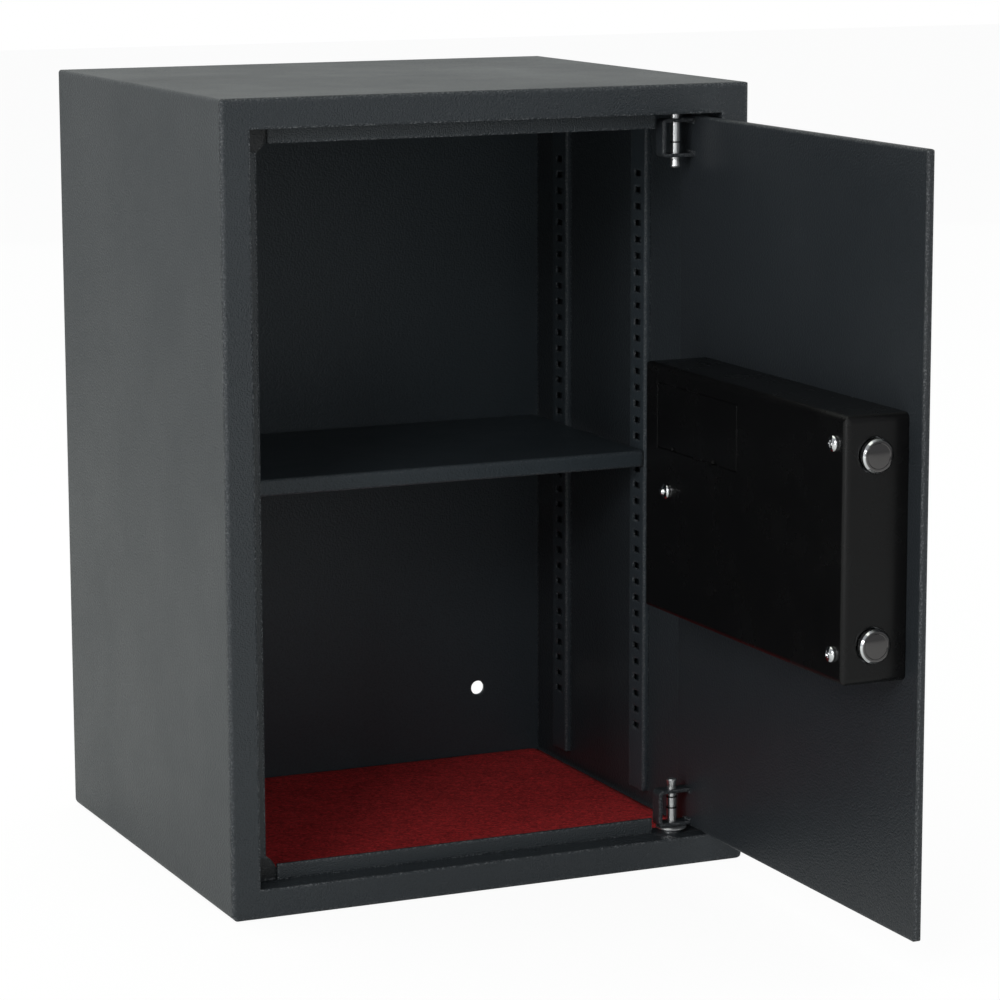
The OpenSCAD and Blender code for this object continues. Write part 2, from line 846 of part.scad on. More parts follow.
// Flat plate that joins both bolts, with a long arm driven by the knob's crank
module bolt_carriage() {
    mid_x = (plate_x[0] + plate_x[1]) / 2;
    crank_x = knob_x + bolt_throw / 2;
    color(ZINC) on_door() along_y(plate_y, plate_y + plate_t) difference() {
        union() {
            round_rect([plate_x[0], bolt_z[0] - plate_end],
                       [plate_x[1], bolt_z[1] + plate_end], plate_corner, plate_corner);
            round_rect([mid_x, arm_z[0]], [arm_x1, arm_z[1]], plate_corner, plate_corner);
        }
        for (z = bolt_z) translate([rivet_x(), z]) circle(d = rivet_d);
        for (s = [-1, 1])
            round_slot([mid_x - window_w / 2, lock_z + s * window_rise - window_h / 2],
                       [mid_x + window_w / 2, lock_z + s * window_rise + window_h / 2]);
        round_slot([guide_x - post_slot_d / 2, guide_z - post_slot_d / 2],
                   [guide_x + bolt_throw + post_slot_d / 2, guide_z + post_slot_d / 2]);
        translate([coil_x + bolt_throw - notch_w / 2, arm_z[1] - notch_d])
            square([notch_w, 2 * notch_d]);
        round_slot([crank_x - crank_slot_w / 2,
                    lock_z - crank_r - crank_pin_d / 2 - crank_slot_over],
                   [crank_x + crank_slot_w / 2, arm_z[1] - crank_slot_wall]);
    }
}

// Coil in a folded frame that is fixed to the door
module solenoid() {
    x0 = coil_x - coil_w / 2;
    x1 = coil_x + coil_w / 2;
    color(ZINC) on_door() difference() {
        union() {
            difference() {
                block([x0, door_y1, coil_z[0]], [x1, bolt_y + coil_top, coil_z[1]]);
                block([x0 - over, door_y1 + channel_t, coil_z[0] + channel_t],
                      [x1 + over, bolt_y + coil_top + over, coil_z[1] - channel_t]);
            }
            bar_z(coil_x, bolt_y, coil_z[0] + coil_gap, coil_z[1] - coil_gap, coil_d);
        }
        bar_z(coil_x, bolt_y, coil_z[0] - over, coil_z[1] - coil_bore_end,
              plunger_d + 2 * bolt_play);
    }
}

// Plunger that drops into the notch of the carriage arm when the bolts are out
module solenoid_plunger() {
    r = plunger_d / 2;
    rim = r + plunger_collar[0];
    z0 = plunger_collar[1];
    z1 = z0 + plunger_collar[2];
    color(CHROME) on_door() translate([coil_x, bolt_y, plunger_tip]) rotate_extrude()
        polygon([[0, 0], [r - plunger_tip_edge, 0], [r, plunger_tip_edge],
                 [r, z0], [rim, z0], [rim, z1], [r, z1], [r, plunger_l], [0, plunger_l]]);
}

module control_board() {
    top = board_y + board_t;
    color(GREEN) on_door() {
        block([board_x[0], board_y, board_z[0]], [board_x[1], top, board_z[1]]);
        for (x = [board_x[0] + spacer_inset, board_x[1] - spacer_inset],
             z = [board_z[0] + spacer_inset, board_z[1] - spacer_inset])
            bar_y(x, z, door_y1, board_y, spacer_d);
        on_board(chip_lo, chip_size);
        on_board(plug_lo, plug_size);
        bar_y(cap_at[0], cap_at[1], top, top + cap_size[1], cap_size[0]);
    }
}

// Block that stands on the control board
module on_board(at, size) {
    translate([at[0], board_y + board_t, at[1]]) cube([size[0], size[2], size[1]]);
}

// ---------- keypad side ----------

// Rounded plastic form of the housing; inset shrinks it all round
module pad_form(inset, back) {
    r = pad_corner - inset;
    e = max(pad_edge - inset, 0.8);
    h = back - (pad_face + inset);
    hull() for (x = [pad_x[0] + pad_corner, pad_x[1] - pad_corner],
                z = [pad_z[0] + pad_corner, pad_z[1] - pad_corner])
        translate([x, back, z]) rotate([90, 0, 0]) rotate_extrude($fn = blend_fn)
            polygon(concat([[0, 0], [r, 0]],
                [for (a = [0 : 18 : 90]) [r - e + e * cos(a), h - e + e * sin(a)]],
                [[0, h]]));
}

module keypad_housing() {
    color(DARK) on_door() difference() {
        pad_form(0, door_y0);
        difference() {
            pad_form(pad_wall, door_y0 + over);
            for (x = pad_screw_x, z = pad_screw_z)
                bar_y(x, z, pad_face, door_y0 + 2 * over, pad_boss_d);
            bar_y(knob_x, lock_z, pad_face, door_y0 + 2 * over, shaft_d + 2 * pad_wall);
        }
        for (i = [0 : len(KEYS) - 1])
            bar_y(key_x[i % 3], key_row_z(i), pad_face - over, door_y0, key_d + 2 * key_gap);
        for (x = lens_x) bar_y(x, lens_z, pad_face - over, door_y0, 2 * lens_r);
        bar_y(knob_x, lock_z, pad_face - over, door_y0 + over, shaft_d + 1);
        bar_y(lock_x, lock_z, pad_face - over, door_y0 + over, 2 * (barrel_r + barrel_play));
        for (x = pad_screw_x, z = pad_screw_z)
            bar_y(x, z, door_y0 - pad_screw_hole, door_y0 + over, screw_d);
    }
}

function key_row_z(i) = key_top_z - floor(i / 3) * key_pitch;

// Round key with a shallow dish, held behind the housing by its flange
module key(i) {
    r = key_d / 2;
    top = pad_wall + key_rise;
    color(ZINC) on_door() turned_out(key_x[i % 3], pad_face + pad_wall, key_row_z(i))
        polygon(concat(
            [[0, -key_depth], [r - key_stem, -key_depth],
             [r - key_stem, -key_flange_t - key_gap],
             [r + key_flange, -key_flange_t - key_gap],
             [r + key_flange, -key_gap], [r, -key_gap]],
            [for (p = key_round) [r - p[0], top - p[1]]],
            [[r / 2, top - key_dish[0]], [0, top - key_dish[1]]]));
}

module status_lenses() {
    color("seagreen") on_door() for (x = lens_x)
        turned_out(x, pad_face + pad_wall, lens_z)
            polygon([[0, -lens_flange], [lens_r, -lens_flange],
                     [lens_r, pad_wall + 0.2 * lens_dome],
                     [0.7 * lens_r, pad_wall + 0.8 * lens_dome], [0, pad_wall + lens_dome]]);
}

module keypad_board() {
    y0 = pad_face + pad_wall + key_depth + board_below_key;
    side = board_beside_key[0];
    end = board_beside_key[1];
    color(GREEN) on_door()
        block([key_x[0] - side, y0, key_row_z(len(KEYS) - 1) - end],
              [key_x[2] + end, y0 + board_t, lens_z + lens_r]);
}

module housing_screws() {
    color(ZINC) on_door() for (x = pad_screw_x, z = pad_screw_z)
        pan_screw(x, z, door_y1, pad_screw_l);
}

// Fluted knob; a groove on its face points at the set position
module turn_knob() {
    r = knob_d / 2;
    base = pad_face - knob_gap;
    e = knob_edge;
    crown_r = r - knob_crown;
    color(ZINC) on_door() difference() {
        union() {
            turned_out(knob_x, base, lock_z)
                polygon([[0, 0], [r - e, 0], [r, e], [r, knob_skirt_h - e],
                         [r - e, knob_skirt_h], [0, knob_skirt_h]]);
            along_y(base - knob_h + knob_round, base - knob_skirt_h + over / 2)
                translate([knob_x, lock_z]) difference() {
                    circle(r - 2 * e);
                    for (i = [0 : flute_count - 1])
                        rotate(i * 360 / flute_count) translate([r, 0]) circle(flute_r);
                }
            turned_out(knob_x, base, lock_z)
                polygon(concat([[0, knob_skirt_h], [crown_r, knob_skirt_h]],
                    [for (a = [0 : 15 : 90])
                        [crown_r - knob_round + knob_round * cos(a),
                         knob_h - knob_round + knob_round * sin(a)]],
                    [[0, knob_h]]));
        }
        block([knob_x - knob_mark[0] / 2, base - knob_h - over, lock_z + knob_mark[1]],
              [knob_x + knob_mark[0] / 2, base - knob_h + knob_mark[2],
               lock_z + crown_r - knob_crown]);
        bar_y(knob_x, lock_z, base - shaft_in_knob, base + over, shaft_d);
    }
}

// Shaft with a crank disc and crank pin at its inner end
module knob_shaft() {
    disc_y = plate_y - crank_gap;
    color(ZINC) on_door() {
        bar_y(knob_x, lock_z, pad_face - knob_gap - shaft_in_knob, disc_y - over, shaft_d);
        bar_y(knob_x, lock_z, disc_y - crank_t, disc_y, 2 * crank_disc_r);
        bar_y(knob_x + bolt_throw / 2, lock_z - bolt_throw / 2,
              disc_y - over, plate_y + plate_t + crank_gap, crank_pin_d);
    }
}

// Pull-off cap that hides the emergency keyhole
module emergency_cap() {
    color(DARK) on_door() turned_out(lock_x, pad_face - rest_gap, lock_z)
        polygon([[0, cap_recess], [barrel_r + cap_lip, cap_recess], [barrel_r + cap_lip, 0],
                 [cap_r, 0], [cap_r, cap_t - 1], [cap_r - 1, cap_t], [0, cap_t + cap_dome]]);
}

module emergency_barrel() {
    y0 = pad_face - barrel_front;
    y1 = door_y1 + barrel_back;
    color(CHROME) on_door() difference() {
        bar_y(lock_x, lock_z, y0, y1, 2 * barrel_r);
        bar_y(lock_x, lock_z, y0 - over, y1 + over, 2 * (plug_r + plug_play));
    }
}

module emergency_nut() {
    color(ZINC) on_door() difference() {
        translate([lock_x, door_y1 + nut_t, lock_z]) rotate([90, 0, 0])
            cylinder(h = nut_t, d = barrel_nut, $fn = 6);
        bar_y(lock_x, lock_z, door_y1 - over, door_y1 + nut_t + over, 2 * barrel_r);
    }
}

// Keyed plug with its tail lever
module emergency_plug() {
    face = pad_face - barrel_front + plug_step;
    tail_y = door_y1 + barrel_back + tail_gap_y;
    color(CHROME) on_door() difference() {
        union() {
            bar_y(lock_x, lock_z, face, tail_y + tail_t / 2, 2 * plug_r);
            along_y(tail_y, tail_y + tail_t)
                round_rect([lock_x - tail_w / 2, lock_z - tail_w / 2],
                           [lock_x + tail_w / 2, lock_z + tail_l], tail_corner, tail_corner);
        }
        block([lock_x - key_way[0] / 2, face - over, lock_z - key_way[1] / 2],
              [lock_x + key_way[0] / 2, face + key_way[2], lock_z + key_way[1] / 2]);
    }
}

// ---------- assembly ----------

cabinet_wrapper();
front_frame();
stop_lips();
corner_gussets();
hinge_tongues();
back_panel();
floor_carpet();
left_front_strip();
left_rear_strip();
right_front_strip();
right_rear_strip();
shelf_clips();
hinge_washer();
shelf();
door_plate();
top_hinge_bracket();
bottom_hinge_bracket();
top_hinge_pin();
bottom_hinge_pin();
pin_rings();
lock_case();
case_post();
case_screws();
bolt_channel();
guide_post();
battery_cover();
battery_tray();
battery_contacts();
batteries();
upper_bolt();
lower_bolt();
bolt_carriage();
bolt_rivets();
solenoid();
solenoid_plunger();
control_board();
keypad_housing();
housing_screws();
keypad_board();
status_lenses();
turn_knob();
knob_shaft();
emergency_cap();
emergency_barrel();
emergency_nut();
emergency_plug();
key(0);  // key_1
key(1);  // key_2
key(2);  // key_3
key(3);  // key_4
key(4);  // key_5
key(5);  // key_6
key(6);  // key_7
key(7);  // key_8
key(8);  // key_9
key(9);  // key_clear
key(10);  // key_0
key(11);  // key_enter
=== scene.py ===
"""A folded-steel safe deposit box with its door open: felt floor, one shelf on slotted
strips, and a plate door with a moulded lock case, two locking bolts and a keypad."""
import math

import bmesh
import bpy
from mathutils import Matrix, Vector, noise


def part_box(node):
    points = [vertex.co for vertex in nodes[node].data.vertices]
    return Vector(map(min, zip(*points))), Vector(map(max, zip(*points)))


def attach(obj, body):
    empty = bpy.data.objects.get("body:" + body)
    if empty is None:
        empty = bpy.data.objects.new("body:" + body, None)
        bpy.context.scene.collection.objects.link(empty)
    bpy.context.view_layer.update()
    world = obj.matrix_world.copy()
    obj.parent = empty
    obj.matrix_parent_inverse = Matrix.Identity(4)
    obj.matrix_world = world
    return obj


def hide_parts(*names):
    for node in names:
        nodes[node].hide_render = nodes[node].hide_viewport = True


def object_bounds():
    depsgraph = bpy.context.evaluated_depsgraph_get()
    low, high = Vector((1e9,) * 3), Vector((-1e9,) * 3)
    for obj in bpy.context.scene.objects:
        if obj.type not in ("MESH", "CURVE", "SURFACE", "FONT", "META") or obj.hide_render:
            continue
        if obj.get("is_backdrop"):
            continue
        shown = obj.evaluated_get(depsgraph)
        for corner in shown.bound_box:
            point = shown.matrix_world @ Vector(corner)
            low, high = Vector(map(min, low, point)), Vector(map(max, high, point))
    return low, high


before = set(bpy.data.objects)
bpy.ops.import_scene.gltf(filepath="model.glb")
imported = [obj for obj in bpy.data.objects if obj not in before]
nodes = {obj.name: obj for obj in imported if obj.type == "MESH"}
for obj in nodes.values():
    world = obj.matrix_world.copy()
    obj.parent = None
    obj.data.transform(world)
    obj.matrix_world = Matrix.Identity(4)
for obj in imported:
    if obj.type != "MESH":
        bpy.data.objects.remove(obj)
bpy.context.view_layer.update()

# ---------------------------------------------------------------------------
# Studio: a white room, a pale matt floor, and large soft lamps behind, above,
# in front and to both sides. The camera stands where the photograph's did.
# ---------------------------------------------------------------------------


def add(tree, kind, links=(), **values):
    """Adds one node; links are (input, output socket or value) pairs."""
    made = tree.nodes.new(kind)
    for key, value in values.items():
        setattr(made, key, value)
    for key, value in links:
        if isinstance(value, bpy.types.NodeSocket):
            tree.links.new(value, made.inputs[key])
        else:
            made.inputs[key].default_value = value
    return made


def object_noise(tree, scale, *more):
    """Noise over Object coordinates, so that it stays on its piece."""
    where = add(tree, "ShaderNodeTexCoord")
    return add(tree, "ShaderNodeTexNoise",
               [("Vector", where.outputs["Object"]), ("Scale", scale), *more])


def mix_colour(tree, factor, first, second, **values):
    """Mixes two colours by factor; values may name another way to blend them."""
    return add(tree, "ShaderNodeMix", [("Factor", factor), (6, first), (7, second)],
               data_type="RGBA", **values).outputs[2]


def new_material(name):
    """A material with its Principled shader wired to the output."""
    mat = bpy.data.materials.new(name)
    mat.use_nodes = True
    tree = mat.node_tree
    tree.nodes.clear()
    shader = add(tree, "ShaderNodeBsdfPrincipled")
    add(tree, "ShaderNodeOutputMaterial", [("Surface", shader.outputs[0])])
    return mat, tree, shader


def new_object(name, mesh, material=None):
    """An object at the origin, in the scene; a material replaces the mesh's own."""
    made = bpy.data.objects.new(name, mesh)
    bpy.context.scene.collection.objects.link(made)
    if material:
        mesh.materials.clear()
        mesh.materials.append(material)
    return made


def soft_lamp(name, place, aim, width, height, brightness, tint=(1, 1, 1)):
    """A lamp panel that looks at aim and shines as bright at any size."""
    data = bpy.data.lights.new(name, "AREA")
    data.shape = "RECTANGLE"
    data.size, data.size_y = width, height
    data.energy = brightness * math.pi * width * height
    data.color = tint
    lamp = bpy.data.objects.new(name, data)
    lamp.location = place
    lamp.rotation_euler = (Vector(aim) - Vector(place)).to_track_quat("-Z", "Y").to_euler()
    lamp.visible_camera = False
    bpy.context.scene.collection.objects.link(lamp)


world = bpy.data.worlds.new("white_room")
bpy.context.scene.world = world
world.use_nodes = True
room = world.node_tree
room.nodes.clear()
seen = add(room, "ShaderNodeBackground", [("Color", (1, 1, 1, 1)), ("Strength", 1.0)])
ambient = add(room, "ShaderNodeBackground", [("Color", (0.95, 0.98, 1, 1)), ("Strength", 0.34)])
ray = add(room, "ShaderNodeLightPath")
pick = add(room, "ShaderNodeMixShader", [(0, ray.outputs["Is Camera Ray"]),
                                        (1, ambient.outputs[0]), (2, seen.outputs[0])])
add(room, "ShaderNodeOutputWorld", [("Surface", pick.outputs[0])])

soft_lamp("lamp_back", (0.8, 3.2, 1.4), (0, 0, 0.4), 7.0, 2.8, 0.145, (0.96, 1, 0.90))
soft_lamp("lamp_left", (-2.6, -1.3, 0.87), (-0.1, -0.1, 0.5), 0.6, 1.7, 6.4)
soft_lamp("lamp_above", (-0.6, 0.8, 2.5), (-0.2, 0.2, 0), 2.8, 2.8, 0.85, (0.97, 1, 0.88))
soft_lamp("lamp_front", (-0.2, -3.2, 1.3), (0, 0, 0.2), 1.6, 1.6, 0.8)
soft_lamp("lamp_key", (-2.3, -2.6, 1.9), (0, -0.1, 0.2), 0.9, 0.9, 8.6)
soft_lamp("lamp_right", (3.0, -0.5, 1.4), (0.1, -0.2, 0.25), 1.5, 1.5, 2.6)

floor_reach = 9
floor_glow = 0.88                       # share of its own white that the camera sees
floor_mat, tree, shader = new_material("pale_floor")
cloud = object_noise(tree, 3.0)
tone = mix_colour(tree, cloud.outputs["Fac"], (0.86, 0.86, 0.86, 1), (0.90, 0.90, 0.89, 1))
tree.links.new(tone, shader.inputs["Base Color"])
shader.inputs["Roughness"].default_value = 0.7
ray = add(tree, "ShaderNodeLightPath")
share = add(tree, "ShaderNodeMath", [(0, ray.outputs["Is Camera Ray"]), (1, floor_glow)],
            operation="MULTIPLY")
glow = add(tree, "ShaderNodeEmission", [("Color", (1, 1, 1, 1)), ("Strength", 1.06)])
lit = add(tree, "ShaderNodeMixShader", [(0, share.outputs[0]), (1, shader.outputs[0]),
                                        (2, glow.outputs[0])])
tree.links.new(lit.outputs[0], tree.nodes["Material Output"].inputs["Surface"])
sheet = bpy.data.meshes.new("studio_floor")
sheet.from_pydata([(floor_reach * x, floor_reach * y, 0)
                   for x, y in ((-1, -1), (1, -1), (1, 1), (-1, 1))], [], [(0, 1, 2, 3)])
new_object("studio_floor", sheet, floor_mat)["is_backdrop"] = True

camera_data = bpy.data.cameras.new("camera")
camera_data.sensor_width = 36
camera_data.lens = 133.16
camera_place = (-0.91740, -2.20170, 0.65049)
camera_turns = ((-24.2417, "Z"), (-10.1615, "X"), (0.148, "Y"), (90, "X"))     # degrees
stand = Matrix.Translation(camera_place)
for degrees, axis in camera_turns:
    stand = stand @ Matrix.Rotation(math.radians(degrees), 4, axis)
camera = bpy.data.objects.new("camera", camera_data)
camera.matrix_world = stand
bpy.context.scene.collection.objects.link(camera)
bpy.context.scene.camera = camera
bpy.context.scene.view_settings.view_transform = "Standard"

# ---------------------------------------------------------------------------
# Cabinet wrapper: top, sides and bottom folded from one 2 mm steel sheet and
# powder coated dark grey. The coat dries to a fine leathery grain. Pale specks
# along the folds are a painted highlight, the glint of light on their bends.
# ---------------------------------------------------------------------------


def new_group(name, inputs, outputs):
    """A shader group; inputs and outputs are (name, socket type, default)."""
    group = bpy.data.node_groups.new(name, "ShaderNodeTree")
    for in_out, sockets in (("INPUT", inputs), ("OUTPUT", outputs)):
        for label, kind, value in sockets:
            socket = group.interface.new_socket(name=label, in_out=in_out, socket_type=kind)
            if value is not None:
                socket.default_value = value
    return group, group.nodes.new("NodeGroupInput"), group.nodes.new("NodeGroupOutput")


def use_group(tree, group, links=()):
    return add(tree, "ShaderNodeGroup", links, node_tree=group)


def set_gloss(tree, shader, share, gloss, spread=(0.3, 0.7)):
    """Roughness from gloss[0] to gloss[1] while share runs over the spread."""
    shine = add(tree, "ShaderNodeMapRange", [
        ("Value", share), ("From Min", spread[0]), ("From Max", spread[1]),
        ("To Min", gloss[0]), ("To Max", gloss[1])])
    tree.links.new(shine.outputs[0], shader.inputs["Roughness"])


def set_relief(tree, shader, height, depth, *normal):
    """A bump of the given depth in metres; normal is the surface under it."""
    bump = add(tree, "ShaderNodeBump", [("Height", height), ("Strength", 1.0),
                                        ("Distance", depth), *normal])
    tree.links.new(bump.outputs[0], shader.inputs["Normal"])


FLOAT, COLOUR = "NodeSocketFloat", "NodeSocketColor"

# Fine orange-peel grain: two sizes of soft bumps, and how deep a spot lies between them.
coat_grain, given, out = new_group(
    "coat_grain", [("Grains per metre", FLOAT, 600.0), ("Ripple", FLOAT, 0.35)],
    [("Height", FLOAT, None), ("Pits", FLOAT, None)])
broad = object_noise(coat_grain, given.outputs["Grains per metre"], ("Detail", 1.0),
                     ("Roughness", 0.4))
fine = object_noise(coat_grain, 1900.0, ("Detail", 0.0))
round_top = add(coat_grain, "ShaderNodeMapRange", [("Value", broad.outputs["Fac"]),
                                                   ("From Min", 0.28), ("From Max", 0.64)],
                interpolation_type="SMOOTHSTEP")
ripple = add(coat_grain, "ShaderNodeMath", [(0, fine.outputs["Fac"]), (1, given.outputs["Ripple"]),
                                            (2, round_top.outputs[0])], operation="MULTIPLY_ADD")
pits = add(coat_grain, "ShaderNodeMath", [(0, 1.0), (1, round_top.outputs[0])],
           operation="SUBTRACT")
coat_grain.links.new(ripple.outputs[0], out.inputs["Height"])
coat_grain.links.new(pits.outputs[0], out.inputs["Pits"])

# Eased edges with painted glints: the rounded normal, and a mask where it leaves
# the true one, broken up by noise into specks that are painted pale as a highlight.
edge_glint, given, out = new_group(
    "edge_glint", [("Reach", FLOAT, 0.0012), ("Amount", FLOAT, 1.0)],
    [("Mask", FLOAT, None), ("Eased", "NodeSocketVector", None)])
smooth = add(edge_glint, "ShaderNodeBevel", [("Radius", given.outputs["Reach"])], samples=3)
true = add(edge_glint, "ShaderNodeNewGeometry")
same = add(edge_glint, "ShaderNodeVectorMath", [(0, smooth.outputs[0]),
                                              (1, true.outputs["Normal"])],
           operation="DOT_PRODUCT")
edge = add(edge_glint, "ShaderNodeMapRange", [("Value", same.outputs["Value"]), ("From Min", 1.0),
                                            ("From Max", 0.86)])
patch = object_noise(edge_glint, 900.0, ("Detail", 1.0))
glint_specks = add(edge_glint, "ShaderNodeMapRange", [("Value", patch.outputs["Fac"]), ("From Min", 0.48),
                                            ("From Max", 0.64)])
both = add(edge_glint, "ShaderNodeMath", [(0, edge.outputs[0]), (1, glint_specks.outputs[0])],
           operation="MULTIPLY")
scaled = add(edge_glint, "ShaderNodeMath", [(0, both.outputs[0]), (1, given.outputs["Amount"])],
             operation="MULTIPLY", use_clamp=True)
edge_glint.links.new(scaled.outputs[0], out.inputs["Mask"])
edge_glint.links.new(smooth.outputs[0], out.inputs["Eased"])

# Slow unevenness of tone and gloss over a whole panel.
slow_tone, given, out = new_group(
    "slow_tone", [("Dark", COLOUR, (0, 0, 0, 1)), ("Light", COLOUR, (1, 1, 1, 1)),
                  ("Patches per metre", FLOAT, 9.0)],
    [("Tone", COLOUR, None), ("Share", FLOAT, None)])
patch = object_noise(slow_tone, given.outputs["Patches per metre"], ("Detail", 4.0),
                     ("Roughness", 0.62))
tone = mix_colour(slow_tone, patch.outputs["Fac"], given.outputs["Dark"], given.outputs["Light"])
slow_tone.links.new(tone, out.inputs["Tone"])
slow_tone.links.new(patch.outputs["Fac"], out.inputs["Share"])

# Colour of the painted highlight specks along folds and edges.
PAINTED_GLINT = (0.36, 0.375, 0.39, 1)


def powder_coat(name, dark, light, grains, depth, gloss):
    """Powder coat with its grain, slow change of tone, and pale specks painted along its edges as a
    highlight.
    """
    mat, tree, shader = new_material(name)
    tone = use_group(tree, slow_tone, [("Dark", (*dark, 1)), ("Light", (*light, 1))])
    grain = use_group(tree, coat_grain, [("Grains per metre", grains)])
    edge_ease_and_glint = use_group(tree, edge_glint, [("Reach", 0.0028), ("Amount", 0.6)])
    # The hollows of the grain are painted darker, a painted shade.
    pit_shaded = mix_colour(tree, grain.outputs["Pits"], tone.outputs["Tone"], (*dark, 1))
    # Painted highlight: pale specks along the edges, where the folds glint.
    glint_painted = mix_colour(tree, edge_ease_and_glint.outputs["Mask"], pit_shaded, PAINTED_GLINT)
    tree.links.new(glint_painted, shader.inputs["Base Color"])
    set_gloss(tree, shader, tone.outputs["Share"], gloss)
    set_relief(tree, shader, grain.outputs["Height"], depth, ("Normal", edge_ease_and_glint.outputs["Eased"]))
    return mat


def finish_with(material, *names):
    """Gives CAD nodes a material in place of the plain one they came with."""
    for name in names:
        slots = nodes[name].data.materials
        slots.clear()
        slots.append(material)


coat_dark, coat_light = (0.026, 0.032, 0.037), (0.036, 0.043, 0.049)
outer_coat = powder_coat("outer_coat", coat_dark, coat_light, 760, 0.00015, (0.28, 0.38))
finish_with(outer_coat, "cabinet_wrapper")

# ---------------------------------------------------------------------------
# Front frame, stop lips, corner gussets and hinge tongues: one ring of sheet
# let into the wrapper and ground flush. Its edge turns inwards, then sideways
# to make the door stop, and stays flat by the hinges to take their pins.
# ---------------------------------------------------------------------------
frame_coat = powder_coat("frame_coat", coat_dark, coat_light, 950, 0.00014, (0.22, 0.32))
# The stop lips carry the frame's own coat; their lighter colour is painted light, for the bright
# band they reflect.
lip_lit_coat = powder_coat("lip_lit_coat", (0.030, 0.037, 0.042), (0.042, 0.050, 0.056), 1000,
                       0.00017, (0.16, 0.26))
# The gussets carry the same coat, painted darker as painted shade for the recess behind the lips.
gusset_shaded_coat = powder_coat("gusset_shaded_coat", (0.010, 0.012, 0.014), (0.018, 0.021, 0.023), 900,
                          0.00012, (0.30, 0.42))
finish_with(frame_coat, "front_frame", "hinge_tongues")
finish_with(lip_lit_coat, "stop_lips")
finish_with(gusset_shaded_coat, "corner_gussets")

# ---------------------------------------------------------------------------
# Weld beads: short runs laid where gussets meet the frame and where the
# hinge ears meet the door, painted over with the same coat.
# ---------------------------------------------------------------------------


def new_tree(name, inputs):
    """A Geometry Nodes tree; inputs are (name, socket type, default)."""
    tree = bpy.data.node_groups.new(name, "GeometryNodeTree")
    tree.interface.new_socket(name="Geometry", in_out="INPUT", socket_type="NodeSocketGeometry")
    for label, kind, value in inputs:
        socket = tree.interface.new_socket(name=label, in_out="INPUT", socket_type=kind)
        if value is not None:
            socket.default_value = value
    tree.interface.new_socket(name="Geometry", in_out="OUTPUT", socket_type="NodeSocketGeometry")
    return tree, tree.nodes.new("NodeGroupInput"), tree.nodes.new("NodeGroupOutput")


def finish_tree(tree, given, out, geometry):
    """Realizes the instances, gives them the tree's Material, and ends the tree."""
    solid = add(tree, "GeometryNodeRealizeInstances", [(0, geometry)])
    coated = add(tree, "GeometryNodeSetMaterial", [(0, solid.outputs[0]),
                                                   ("Material", given.outputs["Material"])])
    tree.links.new(coated.outputs[0], out.inputs[0])


def plain_mesh(made):
    """An object's mesh as its modifiers, or its curve, leave it."""
    evaluated = made.evaluated_get(bpy.context.evaluated_depsgraph_get())
    return bpy.data.meshes.new_from_object(evaluated)


def grow(name, mesh, tree, values):
    """Runs a tree on a mesh and leaves what it makes as a plain mesh."""
    made = new_object(name, mesh)
    run = made.modifiers.new(name, "NODES")
    run.node_group = tree
    for item in tree.interface.items_tree:
        if item.in_out == "INPUT" and item.name in values:
            run[item.identifier] = values[item.name]
    grown = plain_mesh(made)
    made.modifiers.clear()
    made.data = grown
    return made


def smooth_mesh(name, points, faces):
    """A mesh from points in millimetres, shaded smooth."""
    mesh = bpy.data.meshes.new(name)
    mesh.from_pydata([[c / 1000 for c in p] for p in points], [], faces)
    for face in mesh.polygons:
        face.use_smooth = True
    return mesh


def lines_mesh(name, lines):
    """Polylines in millimetres as loose edges."""
    points, edges = [], []
    for line in lines:
        edges += [(len(points) + k, len(points) + k + 1) for k in range(len(line) - 1)]
        points += line
    mesh = bpy.data.meshes.new(name)
    mesh.from_pydata([[c / 1000 for c in p] for p in points], edges, [])
    return mesh


# A run of overlapping round drops of uneven size along each line.
bead_run, given, out = new_tree("bead_run", [
    ("Step", FLOAT, 0.0011), ("Drop radius", FLOAT, 0.0011), ("Unevenness", FLOAT, 0.25),
    ("Seed", "NodeSocketInt", 3), ("Material", "NodeSocketMaterial", None)])
path = add(bead_run, "GeometryNodeMeshToCurve", [(0, given.outputs["Geometry"])])
steps = add(bead_run, "GeometryNodeCurveToPoints", [("Curve", path.outputs[0]),
                                                    ("Length", given.outputs["Step"])],
            mode="LENGTH")
drop = add(bead_run, "GeometryNodeMeshIcoSphere", [("Radius", given.outputs["Drop radius"]),
                                                   ("Subdivisions", 3)])
soft_drop = add(bead_run, "GeometryNodeSetShadeSmooth", [(0, drop.outputs[0])])
least = add(bead_run, "ShaderNodeMath", [(0, 1.0), (1, given.outputs["Unevenness"])],
            operation="SUBTRACT")
size = add(bead_run, "FunctionNodeRandomValue", [(2, least.outputs[0]), (3, 1.0),
                                                 ("Seed", given.outputs["Seed"])])
drops = add(bead_run, "GeometryNodeInstanceOnPoints", [
    ("Points", steps.outputs["Points"]), ("Instance", soft_drop.outputs[0]),
    ("Rotation", steps.outputs["Rotation"]), ("Scale", size.outputs[1])])
finish_tree(bead_run, given, out, drops.outputs[0])


def weld(name, lines, seed):
    """Painted weld beads along lines in millimetres."""
    return grow(name, lines_mesh(name, lines), bead_run, {"Material": outer_coat, "Seed": seed})


cabinet_height = 500
gusset_front = -136.4                   # Y of the beads, along the gussets' front faces
corner_lines = []
for top in (False, True):
    near, far, level = [cabinet_height - z if top else z for z in (20.5, 31.5, 19.2)]
    corner_lines += [[(-155.8, gusset_front, near), (-155.8, gusset_front, far)],
                     [(-153, gusset_front, level), (-141, gusset_front, level)]]
beads = weld("gusset_welds", corner_lines, 5)
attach(beads, "cabinet")

